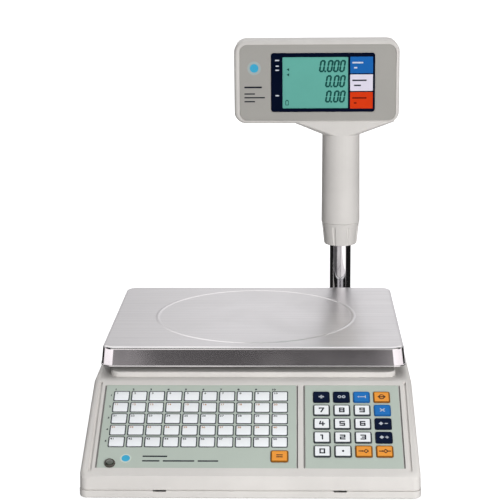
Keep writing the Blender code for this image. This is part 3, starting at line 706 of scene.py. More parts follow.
def outline_material(kind="white"):
    base = tuple(colours().outline)
    if kind == "orange":
        base = shade(tuple(colours().key_orange), 0.30)
    elif kind != "white":
        base = shade(tuple(getattr(colours(), "key_" + kind)), 0.7)
    return moulded(
        "outline_" + kind, base, 0.40, 2200.0, 0.000008, 0.0, 0.06, Specular_IOR_Level=0.05)


def ink_material(name="ink", base=None):
    return moulded(
        name, base or tuple(colours().ink), 0.45, 3000.0, 0.000004, 0.0, 0.08, Specular_IOR_Level=0.05)


def screw_steel():
    return polished("screw_steel", (0.42, 0.42, 0.43), 0.22)


def badge_material():
    return ink_material("badge_cyan", tuple(colours().badge))


def label_ink():
    return ink_material("ink_label", (0.62, 0.66, 0.74))


def black_material():
    return moulded("black_plastic", (0.018, 0.018, 0.019), 0.38, 1500.0, 0.00002, 0.25, 0.15)


def rubber_material():
    return moulded("rubber", (0.020, 0.020, 0.021), 0.75, 1300.0, 0.00004, 0.0, 0.2)


@once
def board_material(name):
    """Green solder mask over copper tracks."""
    material, tree, shader, vector = start_material(name, 0.35)
    grid = add_node(tree, "TexBrick", {
        "Vector": vector, "Scale": 160.0, "Mortar Size": 0.04, "Color1": (0.012, 0.11, 0.035, 1.0),
        "Color2": (0.018, 0.14, 0.045, 1.0), "Mortar": (0.05, 0.22, 0.07, 1.0)})
    grain = place_group(tree, grain_group(), vector, Pebble=900.0)
    dusty = mixed(tree, math_node(tree, "MULTIPLY", grain.outputs["Mottle"], 0.2),
                  (0.012, 0.11, 0.035), (0.10, 0.16, 0.10))
    blend = add_node(tree, "Mix", data_type="RGBA", blend_type="ADD")
    tree.links.new(grid.outputs["Color"], blend.inputs[6])
    tree.links.new(dusty, blend.inputs[7])
    blend.inputs[0].default_value = 0.5
    tree.links.new(blend.outputs[2], shader.inputs["Base Color"])
    bump(tree, shader, grid.outputs["Fac"], 0.00003)
    return material


# Base

class SCALE_OT_casing(bpy.types.Operator):
    """Upper casing: short front, sloped panel with its recesses, deck and raised plateau"""
    bl_idname = "scale.casing"
    bl_label = "Casing"

    def execute(self, context):
        s = sizes()
        low, high = COVER[0] - Vector((0, 0, 0.002)), COVER[1]
        top_x = high.x - 0.0027
        shell = block(low, (high.x, high.y, DECK))
        self.taper(shell, top_x / high.x)
        panel = panel_frame() @ Matrix.Translation((0, 0, GAP))
        self.slice_panel(shell, panel)
        round_edges(shell, self.upright_corner(high.x), s.corner, 6)
        self.round_shoulders(shell, low.z, s.shoulder)
        select_faces(shell, lambda f: f.normal.z < -0.9)
        bpy.ops.mesh.delete(type="FACE")
        rest()
        modify(shell, "SOLIDIFY", thickness=WALL, offset=-1.0, use_even_offset=True)
        self.add_plateau(shell)
        self.cut_panel(shell, panel)
        self.cut_openings(shell)
        soften(shell, s.softness)
        combine(shell, block((-BEYOND, -BEYOND, low.z - 0.01), (BEYOND, BEYOND, COVER[0].z)))
        smooth(shell)
        finish_cover(shell, "casing", "base", "top_cover")
        return {"FINISHED"}

    def taper(self, obj, k):
        """Draws the top in a little, as a moulding is."""
        select_faces(obj, lambda f: f.normal.z > 0.9)
        bpy.ops.transform.resize(value=(k, 1, 1), center_override=(0, 0, DECK))
        rest()

    def slice_panel(self, obj, panel):
        """Cuts the front of the block away to the slope."""
        edit(obj, "FACE")
        normal = panel.to_3x3() @ Vector((0, 0, 1))
        bpy.ops.mesh.bisect(
            plane_co=panel.translation, plane_no=normal, use_fill=True, clear_outer=True)
        rest()

    def upright_corner(self, reach):
        """A test for the four upright edges of the casing."""
        def test(a, b):
            d = b - a
            side = min(abs(a.x), abs(b.x)) > reach - 0.004
            same_depth = abs(d.y) < 1e-5
            return side and same_depth and abs(d.z) > 0.005
        return test

    def round_shoulders(self, obj, bottom, radius):
        """Rounds the edges between the sides and the deck, panel and front."""
        edit(obj, "EDGE", "DESELECT")
        bpy.ops.mesh.edges_select_sharp(sharpness=math.radians(40))
        bpy.ops.object.mode_set(mode="OBJECT")
        points = obj.data.vertices
        for edge in obj.data.edges:
            a, b = (points[i].co for i in edge.vertices)
            across = abs(a.y - b.y) < 1e-5 and abs(a.z - b.z) < 1e-5 and abs(a.x - b.x) > 0.05
            if max(a.z, b.z) < bottom + 0.001 or (across and a.y < 0):
                edge.select = False
        bpy.ops.object.mode_set(mode="EDIT")
        bpy.ops.mesh.bevel(offset=radius, segments=5, profile=0.5, affect="EDGES")
        rest()

    def add_plateau(self, shell):
        """The raised part under the pan, hollow below."""
        x = 0.165
        front, rear = PAN[0].y - 0.007, COVER[1].y - 0.010
        raised = plate((-x, front, DECK - 0.002), (x, rear, COVER[1].z), 0.012, segments=6)
        round_edges(raised, at_height(2, COVER[1].z), 0.0014, 3)
        combine(shell, raised, "UNION")
        hollow = plate(
            (-x + WALL, front + WALL, DECK - 0.01), (x - WALL, rear - WALL, COVER[1].z - WALL), 0.0095)
        combine(shell, hollow)

    def cut_panel(self, shell, panel):
        """Recesses for the two films, grooves beside them and at the sides, key windows, level's bore."""
        tools = []
        for node in ("preset_overlay", "numeric_overlay"):
            low, high = panel_span(node)
            tools.append(block((low.x - GAP, low.y - GAP, -0.0012), (high.x + GAP, high.y + GAP, 0.01)))
            for x in (low.x, high.x):
                tools.append(block((x - 0.0008, low.y, -GROOVE), (x + 0.0008, high.y, 0.01)))
        low, high = panel_span("numeric_overlay")
        for side in (-1, 1):
            x = side * 0.1735
            tools.append(block(
                (x - 0.0018, low.y - 0.0042, -GROOVE), (x + 0.0018, high.y + 0.0050, 0.01)))
        for key in key_bodies():
            a, b = cap_span(key)
            tools.append(block((a.x - GAP, a.y - GAP, -0.01), (b.x + GAP, b.y + GAP, 0.02)))
        for tool in tools:
            place(tool, panel)
            combine(shell, tool)
        a, b = panel_span("level_bezel")
        x, y = (a.x + b.x) / 2, (a.y + b.y) / 2
        bore = rod((x, y, -0.02), (x, y, 0.02), (b.x - a.x) / 2 + GAP)
        combine(shell, place(bore, panel))

    def cut_openings(self, shell):
        """Rear openings, the hole for the load cell's riser and the two release slots."""
        rear = COVER[1].y
        for node, margin in (("power_inlet", 0.003), ("switch_housing", 0.002), ("serial_port", 0.0055)):
            a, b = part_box(node)
            dz = margin if node != "serial_port" else 0.0012
            combine(shell, block(
                (a.x + margin, rear - 0.01, a.z + dz), (b.x - margin, rear + 0.01, b.z - dz)))
        a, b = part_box("load_riser")
        combine(shell, block((a.x - 0.004, a.y - 0.005, 0.09), (b.x + 0.004, b.y + 0.005, 0.12)))
        front, z = COVER[0].y, COVER[0].z
        for x in (-RELEASE_X, RELEASE_X):
            combine(shell, block(
                (x - RELEASE_WIDTH / 2, front - 0.01, 0.0),
                (x + RELEASE_WIDTH / 2, front + 0.006, z + 0.0004)))


class SCALE_OT_bottom(bpy.types.Operator):
    """Lower casing with its foot bosses, vents, screws and release slots"""
    bl_idname = "scale.bottom"
    bl_label = "Bottom"

    def execute(self, context):
        s = sizes()
        low, high = BOTTOM
        floor_z = low.z + 0.0028
        rim = COVER[0].z - 0.00015
        shell = plate(low, (high.x, high.y, rim + 0.002), s.corner, segments=6)
        round_edges(shell, at_height(2, low.z), 0.0022, 4)
        inside = plate(
            (low.x + WALL, low.y + WALL, floor_z), (high.x - WALL, high.y - WALL, 0.05), s.corner - WALL)
        combine(shell, inside)
        for node in frame["nodes"]:
            if node.startswith("foot_"):
                a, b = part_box(node)
                at = (a + b) / 2
                combine(shell, rod((at.x, at.y, low.z + 0.001), (at.x, at.y, high.z), 0.0062), "UNION")
                combine(shell, rod((at.x, at.y, 0.0), (at.x, at.y, 0.03), 0.0034))
        for x in (-RELEASE_X, RELEASE_X):
            combine(shell, block(
                (x - RELEASE_WIDTH / 2, low.y - 0.01, rim - 0.0013),
                (x + RELEASE_WIDTH / 2, low.y + 0.006, rim + 0.02)))
        screws = []
        for x in (-0.165, 0.165):
            for y in (low.y + 0.090, high.y - 0.090):
                combine(shell, rod((x, y, low.z - 0.01), (x, y, low.z + 0.0016), 0.0045))
                screws.append(self.screw((x, y, low.z + 0.0016)))
        for i in range(9):
            x = -0.06 + 0.015 * i
            vent = plate((x - 0.002, -0.02, low.z - 0.01), (x + 0.002, 0.03, 0.02), 0.0019, segments=3)
            combine(shell, vent)
        soften(shell, s.softness)
        combine(shell, block((-BEYOND, -BEYOND, rim), (BEYOND, BEYOND, rim + 0.01)))
        smooth(shell)
        finish_cover(shell, "bottom", "base", "bottom_cover")
        finish_set(screws, "bottom_screws", "base", screw_steel())
        return {"FINISHED"}

    def screw(self, at):
        """A pan-head screw seen from below, with a cross slot."""
        head = turned(
            [(0.0036, 0.0), (0.0036, 0.0006), (0.0030, 0.0012), (0.0015, 0.0014)], count=24)
        head.rotation_euler = (math.pi, 0, 0)
        settle(head)
        for size in ((0.0022, 0.0004), (0.0004, 0.0022)):
            combine(head, block((-size[0], -size[1], -0.003), (size[0], size[1], -0.0008)))
        head.location = at
        return settle(head)


# The preset fields: how many there are, and the size of one
COLUMNS, ROWS = 10, 5
FIELD = Vector((0.0184, 0.0156))


class SCALE_OT_films(bpy.types.Operator):
    """The two printed films, with fields, numbers and outlines of the presets"""
    bl_idname = "scale.films"
    bl_label = "Films"

    def execute(self, context):
        panel = panel_frame()
        others = [key for key in key_bodies() if key != "key_set"]
        for kind, keys in (("preset", ["key_set"]), ("numeric", others)):
            node = kind + "_overlay"
            finish_piece(
                place(self.film(node, keys), panel), kind + "_film", "base", film_material(),
                "overlay_film", [node])
        # Painted shade: dark strips that darken the grooves beside the films
        self.seals(panel)
        self.fields(panel)
        self.marks(panel)
        return {"FINISHED"}

    def seals(self, panel):
        """Dark grey strips in the grooves beside the films: painted shade standing in for the shadow down in
        the grooves.
        """
        strips = []
        for node in ("preset_overlay", "numeric_overlay"):
            low, high = panel_span(node)
            for x in (low.x, high.x):
                strips.append(block((x - 0.0007, low.y, -0.0022), (x + 0.0007, high.y, -0.0011)))
        # Painted shade: a flat dark grey for the shadow in the grooves
        grey = moulded("seal_grey", (0.20, 0.195, 0.19), 0.6, 1500.0, 0.00002, 0.0, 0.1)
        finish_piece(place(join(strips, "seals"), panel), "panel_seals", "base", grey, "black_plastic")

    def film(self, node, keys):
        """A thin film with a window for each key."""
        low, high = panel_span(node)
        side = sizes().film_gap
        film = plate((low.x + side, low.y, -FILM), (high.x - side, high.y, 0.0), 0.0008, segments=2)
        for key in keys:
            a, b = cap_span(key)
            hole = plate((a.x - GAP, a.y - GAP, -0.01), (b.x + GAP, b.y + GAP, 0.01), 0.002, segments=3)
            combine(film, hole)
        if node == "preset_overlay":
            a, b = panel_span("level_bezel")
            x, y = (a.x + b.x) / 2, (a.y + b.y) / 2
            combine(film, rod((x, y, -0.01), (x, y, 0.01), (b.x - a.x) / 2 + GAP))
        return soften(film, 0.0001, 1)

    def grid(self):
        """Row, column and middle of each preset field, row by row."""
        low, high = panel_span("preset_overlay", above=0.0003)
        step_x = (high.x - low.x - FIELD.x) / (COLUMNS - 1)
        step_y = (high.y - low.y - FIELD.y) / (ROWS - 1)
        for row in range(ROWS):
            for column in range(COLUMNS):
                x = low.x + FIELD.x / 2 + step_x * column
                y = high.y - FIELD.y / 2 - step_y * row
                yield row, column, x, y

    def fields(self, panel):
        """White embossed fields, each on a dark printed outline, with small numbers."""
        line = sizes().field_outline
        half = FIELD / 2
        ring = plate((-half.x, -half.y, 0.0), (half.x, half.y, 0.00022), 0.0016, segments=3)
        pad_low = (-half.x + line, -half.y + line, 0.0001)
        pad = plate(pad_low, (half.x - line, half.y - line, 0.0004), 0.0010, segments=3)
        round_edges(pad, at_height(2, 0.0004), 0.00018, 2)
        rings, pads, dark, warm, headings = [], [], [], [], []
        for row, column, x, y in self.grid():
            rings.append(copy(ring, (x, y, 0)))
            pads.append(copy(pad, (x, y, 0)))
            corner = Matrix.Translation((x - half.x + 0.0042, y + half.y - 0.0036, 0.00041))
            number = write(str(row * COLUMNS + column + 1), 0.0036, corner, 0.00008, 1.25, 0.00003)
            (warm if row % 2 else dark).append(number)
            if row == 0:
                above = Matrix.Translation((x - half.x + 0.0018, y + half.y + 0.0026, 0.00004))
                headings.append(write(str(column + 1), 0.0038, above, 0.00014, 1.25, 0.00004))
            if column == 0:
                beside = Matrix.Translation((x - half.x - 0.0028, y + 0.0012, 0.00004))
                headings.append(write(str(row + 1), 0.0036, beside, 0.00012, 1.2, 0.00004))
        for tool in (ring, pad):
            bpy.data.objects.remove(tool)
        sets = (
            (rings, "preset_outlines", outline_material(), "key_navy"),
            (pads, "preset_fields", key_material("white"), "key_white"),
            (dark + headings, "preset_numbers", ink_material(), "key_navy"),
            (warm, "preset_numbers_warm", ink_material("ink_warm", (0.50, 0.27, 0.14)), "key_orange"))
        for pieces, name, material, slot in sets:
            joined = place(join(pieces, name), panel)
            finish_piece(smooth(joined, 30, False), name, "base", material, slot)

    def marks(self, panel):
        """A plain round badge with a pale rim, and plain rules, on the film."""
        low = panel_span("preset_overlay")[0]
        y = low.y + 0.0135
        halo = turned([(0.0062, 0.0), (0.0062, 0.00006), (0.0060, 0.0001)], (low.x + 0.0318, y, 0), 40)
        pale = ink_material("badge_pale", shade(tuple(colours().film), 1.22))
        finish_piece(place(smooth(halo), panel), "panel_badge_rim", "base", pale, "key_white")
        badge = turned([(0.0046, 0.0), (0.0046, 0.00016), (0.0044, 0.0002)], (low.x + 0.0318, y, 0), 32)
        finish_piece(place(smooth(badge), panel), "panel_badge", "base", badge_material(), "key_blue")
        rules = []
        for start, end, up in (
                (0.050, 0.077, 0.0030), (0.050, 0.069, -0.0036), (0.0725, 0.107, -0.0036),
                (0.1105, 0.133, -0.0036)):
            rules.append(plate(
                (low.x + start, y + up - 0.0009, 0.0), (low.x + end, y + up + 0.0009, 0.00012), 0.0006))
        finish_piece(
            place(join(rules, "panel_rules"), panel), "panel_rules", "base", ink_material(), "key_navy")


# Printed signs of the keys: the kind of each mark, then its place, size and turn
SIGNS = {
    "point": (("dot", 0, 0, 0.0013),),
    "plus": (("bar", 0, 0, 0.0060, 0.0019), ("bar", 0, 0, 0.0019, 0.0050)),
    "change": (("hoop", -0.0022, 0, 0.0021), ("hoop", 0.0026, 0, 0.0021)),
    "recall": (
        ("arrow", -0.0034, 1), ("bar", 0.0010, 0, 0.0062, 0.0010), ("bar", 0.0044, 0, 0.0010, 0.0040)),
    "mode": (("hoop", 0, 0, 0.0036), ("bar", 0, 0, 0.0090, 0.0012)),
    "clear": (("bar", 0, 0, 0.0068, 0.0012, 40), ("bar", 0, 0, 0.0068, 0.0012, -40)),
    "memory_clear": (("bar", -0.0024, 0, 0.0036, 0.0036, 45), ("bar", 0.0034, 0, 0.0036, 0.0011)),
    "memory_add": (
        ("bar", -0.0024, 0, 0.0036, 0.0036, 45), ("bar", 0.0034, 0, 0.0040, 0.0011),
        ("bar", 0.0034, 0, 0.0011, 0.0036)),
    "tare": (("bar", -0.0034, 0, 0.0052, 0.0012), ("arrow", -0.0014, -1), ("diamond", 0.0024)),
    "zero": (
        ("bar", -0.0044, 0, 0.0040, 0.0012), ("arrow", -0.0022, -1), ("diamond", 0.0010),
        ("bar", 0.0052, 0, 0.0034, 0.0012)),
    "set": (("bar", 0, 0.0014, 0.0070, 0.0011), ("bar", 0, -0.0014, 0.0070, 0.0011)),
}

# Lines of the numbers 0 to 9 on a grid of one by one, the size of that grid, and half a line's width
FIGURES = (
    (((0, 0), (0, 1), (1, 1), (1, 0), (0, 0)),),
    (((0.25, 1), (0.6, 1), (0.6, 0)),),
    (((0, 1), (1, 1), (1, 0.5), (0, 0.5), (0, 0), (1, 0)),),
    (((0, 1), (1, 1), (1, 0), (0, 0)), ((0.3, 0.5), (1, 0.5))),
    (((0.2, 1), (0, 0.38), (1.1, 0.38)), ((0.75, 0.85), (0.75, 0))),
    (((1, 1), (0, 1), (0, 0.5), (1, 0.5), (1, 0), (0, 0)),),
    (((1, 1), (0, 1), (0, 0), (1, 0), (1, 0.5), (0, 0.5)),),
    (((0, 0.9), (0, 1), (1, 1), (0.4, 0)),),
    (((0, 0), (0, 1), (1, 1), (1, 0), (0, 0)), ((0, 0.5), (1, 0.5))),
    (((1, 0.5), (0, 0.5), (0, 1), (1, 1), (1, 0), (0, 0)),))
FIGURE_SIZE = (0.0047, 0.0056)
FIGURE_LINE = 0.00076


class SCALE_OT_keys(bpy.types.Operator):
    """The travelling keycaps with their numbers and signs"""
    bl_idname = "scale.keys"
    bl_label = "Keys"

    def execute(self, context):
        panel = panel_frame()
        slots = {p["node"]: p["material_slot"] for p in frame["record"]["subparts"]}
        for key in key_bodies():
            kind = slots[key].split("_")[1]
            low, high = cap_span(key)
            cap = place(self.cap(low, high), panel)
            materials = [key_material(kind), outline_material(kind)]
            finish_piece(cap, key + "_cap", key, materials, slots[key], [key])
            middle = Matrix.Translation(((low.x + high.x) / 2, (low.y + high.y) / 2, high.z))
            sign = self.sign(key.removeprefix("key_"), panel @ middle)
            pale = kind in ("navy", "blue")
            ink = ink_material("ink_pale", (0.52, 0.56, 0.62)) if pale else ink_material()
            finish_piece(sign, key + "_sign", key, ink, slots[key])
        return {"FINISHED"}

    def cap(self, low, high):
        """A rounded cap over a wider retaining flange. The rim of its top is its dark outline."""
        body = plate((low.x, low.y, low.z + 0.0005), high, 0.0021, segments=5)
        round_edges(body, at_height(2, high.z), 0.0004, 3)
        flange = plate(low - FLANGE, (high.x + FLANGE.x, high.y + FLANGE.y, low.z + 0.0009), 0.0021)
        combine(body, flange, "UNION")
        select_faces(body, lambda f: f.normal.z > 0.99 and f.center.z > high.z - 1e-5)
        bpy.ops.mesh.inset(thickness=sizes().key_outline, depth=0.0)
        rest()
        body.data.materials.append(None)
        body.data.materials.append(None)
        middle = (low + high) / 2
        for face in body.data.polygons:
            inner = face.center.z > high.z - 1e-5 and (face.center - middle).xy.length < 0.0015
            face.material_index = 0 if inner else 1
        return smooth(body, 40)

    def sign(self, word, matrix):
        """The number or plain sign printed on one key."""
        if word.isdigit():
            marks = [self.stroke(a, b, i) for i, (a, b) in enumerate(self.strokes(int(word)))]
            return place(join(marks, "number"), matrix)
        marks = [getattr(self, kind)(*values) for kind, *values in SIGNS[word]]
        return place(join(marks, "sign"), matrix)

    def strokes(self, number):
        """The lines of one number, between pairs of points on a wide grid."""
        for path in FIGURES[number]:
            points = [
                Vector(((x - 0.5) * FIGURE_SIZE[0], (y - 0.5) * FIGURE_SIZE[1], 0)) for x, y in path]
            yield from zip(points, points[1:])

    def stroke(self, a, b, i):
        """A thick line with eased ends, a hair higher than the one before."""
        half, thick = (b - a).length / 2, FIGURE_LINE
        made = block((-half - thick, -thick, 0), (half + thick, thick, PRINT + 0.000006 * i))
        round_edges(made, along(2), thick * 0.5, 2)
        made.rotation_euler.z = math.atan2(b.y - a.y, b.x - a.x)
        made.location = (a + b) / 2
        return settle(made)

    def bar(self, x, y, width, height, degrees=0.0):
        made = block((-width / 2, -height / 2, 0), (width / 2, height / 2, PRINT))
        made.rotation_euler.z = math.radians(degrees)
        made.location = (x, y, 0)
        return settle(made)

    def dot(self, x, y, radius):
        return rod((x, y, 0), (x, y, PRINT), radius, 20)

    def hoop(self, x, y, radius, line=0.0011, count=28):
        """An open ring with a line of the given width."""
        inner = radius - line
        profile = [(radius, 0.0), (radius, PRINT), (inner, PRINT), (inner, 0.0)]
        return turned(profile, (x, y, 0), count, True)

    def arrow(self, x, side):
        """A triangle that points to the left for side 1 and to the right for side -1."""
        rest()
        bpy.ops.mesh.primitive_cylinder_add(
            vertices=3, radius=0.0015, depth=PRINT, location=(x, 0, PRINT / 2))
        bpy.context.object.rotation_euler.z = math.radians(90 * side)
        return settle(bpy.context.object)

    def diamond(self, x):
        """An open diamond."""
        return self.hoop(x, 0, 0.0031, 0.0014, 4)


class SCALE_OT_level(bpy.types.Operator):
    """Round spirit level with its bezel, domed glass and ring mark"""
    bl_idname = "scale.level"
    bl_label = "Level"

    def execute(self, context):
        panel = panel_frame()
        a, b = panel_span("level_bezel")
        at = ((a.x + b.x) / 2, (a.y + b.y) / 2, 0.0)
        outer = (b.x - a.x) / 2
        vial_low, vial_high = panel_span("level_vial")
        inner = (vial_high.x - vial_low.x) / 2
        top = b.z + 0.0012
        ring = turned([
            (outer, a.z), (outer, top - 0.0004), (outer - 0.0003, top - 0.0001), (outer - 0.0006, top),
            (inner + 0.0004, top), (inner + 0.0002, top - 0.0003), (inner + 0.0002, a.z)], at, 40, True)
        finish_piece(
            place(smooth(ring), panel), "level_ring", "base",
            moulded("bezel_grey", (0.075, 0.066, 0.055), 0.4, 1500.0), "black_plastic",
            ["level_bezel"])
        crown = [(inner * math.cos(math.radians(t)), top - 0.0004 + 0.0016 * math.sin(math.radians(t)))
                 for t in range(0, 90, 12)]
        vial = turned([(inner, a.z + 0.0004)] + crown, at, 40)
        material, tree, shader, vector = start_material("vial_glass", 0.05, Coat_Weight=1.0, IOR=1.5)
        grain = place_group(tree, grain_group(), vector, Pebble=600.0, Mottle=300.0)
        tree.links.new(
            mixed(tree, grain.outputs["Mottle"], (0.010, 0.016, 0.010), (0.030, 0.042, 0.022)),
            shader.inputs["Base Color"])
        finish_piece(
            place(smooth(vial, 50), panel), "level_glass", "base", material, "vial_glass", ["level_vial"])
        mark = turned([
            (0.0019, 0.0), (0.0019, 0.00008), (0.0016, 0.00008), (0.0016, 0.0)],
            (at[0], at[1], top + 0.0008), 28, True)
        ink = ink_material("level_ink", (0.30, 0.34, 0.26))
        finish_piece(place(mark, panel), "level_mark", "base", ink, "vial_glass")
        return {"FINISHED"}


# Weighing platform

# The bead pressed into the pan: half its width, its height, and steps from foot to crown
BEAD_HALF, BEAD_HEIGHT, BEAD_STEPS = 0.0036, 0.00065, 6

class SCALE_OT_pan(bpy.types.Operator):
    """Brushed steel pan: bent edge, flared skirt with a hem, and a pressed ring"""
    bl_idname = "scale.pan"
    bl_label = "Pan"

    def execute(self, context):
        s = sizes()
        low, high = PAN
        top = high.z - 0.0008
        flare = s.pan_flare
        pan = plate(
            (low.x + flare, low.y + flare, low.z), (high.x - flare, high.y - flare, top), s.pan_corner,
            segments=10)
        round_edges(pan, at_height(2, top), s.pan_edge, 6)
        self.flare(pan, low, high)
        select_faces(pan, lambda f: f.normal.z < -0.9)
        bpy.ops.mesh.delete(type="FACE")
        rest()
        modify(pan, "SOLIDIFY", thickness=s.sheet, offset=-1.0, use_even_offset=True)
        middle = (PAN_MIDDLE.x, PAN_MIDDLE.y, 0)
        profile = []
        for i in range(2 * BEAD_STEPS + 1):
            across = 1.0 - i / BEAD_STEPS
            rise = 0.5 + 0.5 * math.cos(math.pi * across)
            profile.append((s.ring + BEAD_HALF * across, top - 0.00005 + BEAD_HEIGHT * rise))
        profile += [(s.ring - BEAD_HALF, top - 0.0005), (s.ring + BEAD_HALF, top - 0.0005)]
        bead = turned(profile, middle, 180, True)
        combine(pan, bead, "UNION")
        combine(pan, self.hem(low, high), "UNION")
        modify(pan, "BEVEL", width=0.00035, segments=2, limit_method="ANGLE", angle_limit=math.radians(50))
        smooth(pan, 32)
        finish_piece(
            pan, "pan", "pan", brushed_steel("brushed_steel", (0.70, 0.69, 0.695)), "brushed_steel",
            ["platter"])
        return {"FINISHED"}

    def hem(self, low, high):
        """The folded edge along the foot of the skirt."""
        out, height = 0.0007, 0.0014
        corner = sizes().pan_corner
        ring = plate(
            (low.x - out, low.y - out, low.z - 0.0002), (high.x + out, high.y + out, low.z + height),
            corner + out, segments=10)
        for level in (low.z - 0.0002, low.z + height):
            round_edges(ring, at_height(2, level), 0.0005, 3)
        inner = plate(
            (low.x + 0.0006, low.y + 0.0006, low.z - 0.01), (high.x - 0.0006, high.y - 0.0006, high.z),
            corner - 0.0006, segments=10)
        return combine(ring, inner)

    def flare(self, obj, low, high):
        """Leans the skirt out at its foot."""
        select_faces(obj, lambda f: f.normal.z < -0.9)
        size = high - low
        flare = 2 * sizes().pan_flare
        bpy.ops.transform.resize(
            value=(size.x / (size.x - flare), size.y / (size.y - flare), 1),
            center_override=(PAN_MIDDLE.x, PAN_MIDDLE.y, low.z))
        rest()


class SCALE_OT_frame_finishes(bpy.types.Operator):
    """Materials of the CAD pieces that keep their own shape"""
    bl_idname = "scale.frame_finishes"
    bl_label = "Frame finishes"

    def execute(self, context):
        makers = {
            "cast_aluminium": lambda: moulded(
                "cast_aluminium", (0.50, 0.51, 0.52), 0.42, 900.0, 0.00006, 0.5, 0.08, Metallic=1.0),
            "rubber": rubber_material,
            "silicone": lambda: moulded("silicone", (0.42, 0.43, 0.42), 0.6, 1200.0, 0.00003, 0.0, 0.06),
            "board_green": lambda: board_material("board_green"),
            "steel": lambda: polished("core_steel", (0.36, 0.36, 0.37), 0.3),
            "battery_grey": lambda: moulded("battery_grey", (0.10, 0.105, 0.115), 0.45, wear=0.3),
            "black_plastic": black_material,
        }
        for part in frame["record"]["subparts"]:
            obj = frame["nodes"][part["node"]]
            slot = part["material_slot"]
            if obj.hide_render or slot not in makers:
                continue
            material = makers[slot]()
            for i in range(max(1, len(obj.material_slots))):
                if i < len(obj.material_slots):
                    obj.material_slots[i].material = material
                else:
                    obj.data.materials.append(material)
        return {"FINISHED"}


class SCALE_OT_feet(bpy.types.Operator):
    """Levelling feet: a ribbed rubber pad on a threaded steel stud"""
    bl_idname = "scale.feet"
    bl_label = "Feet"

    def execute(self, context):
        steel = polished("stud_steel", (0.50, 0.50, 0.51), 0.2)
        for body in sorted(b for b in frame["bodies"] if b.startswith("foot_")):
            a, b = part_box(body)
            at = ((a.x + b.x) / 2, (a.y + b.y) / 2, 0.0)
            r = (b.x - a.x) / 2
            pad = turned([
                (r - 0.0012, 0.0), (r - 0.0003, 0.0006), (r, 0.0014), (r, 0.0020), (r - 0.0006, 0.0024),
                (r - 0.0006, 0.0030), (r, 0.0034), (r, 0.0044), (r - 0.0005, 0.0052), (r - 0.0020, 0.0060),
                (0.0062, 0.0060)], at, 48)
            finish_piece(smooth(pad), body + "_pad", body, rubber_material(), "rubber", [body])
            thread = [(0.0030, 0.0061)]
            z = 0.0066
            while z < b.z - 0.0006:
                thread += [(0.0031, z), (0.0027, z + 0.0004)]
                z += 0.0008
            thread += [(0.0024, b.z)]
            stud = smooth(turned(thread, at, 24))
            finish_piece(stud, body + "_stud", body, steel, "steel")
        return {"FINISHED"}


# Rear

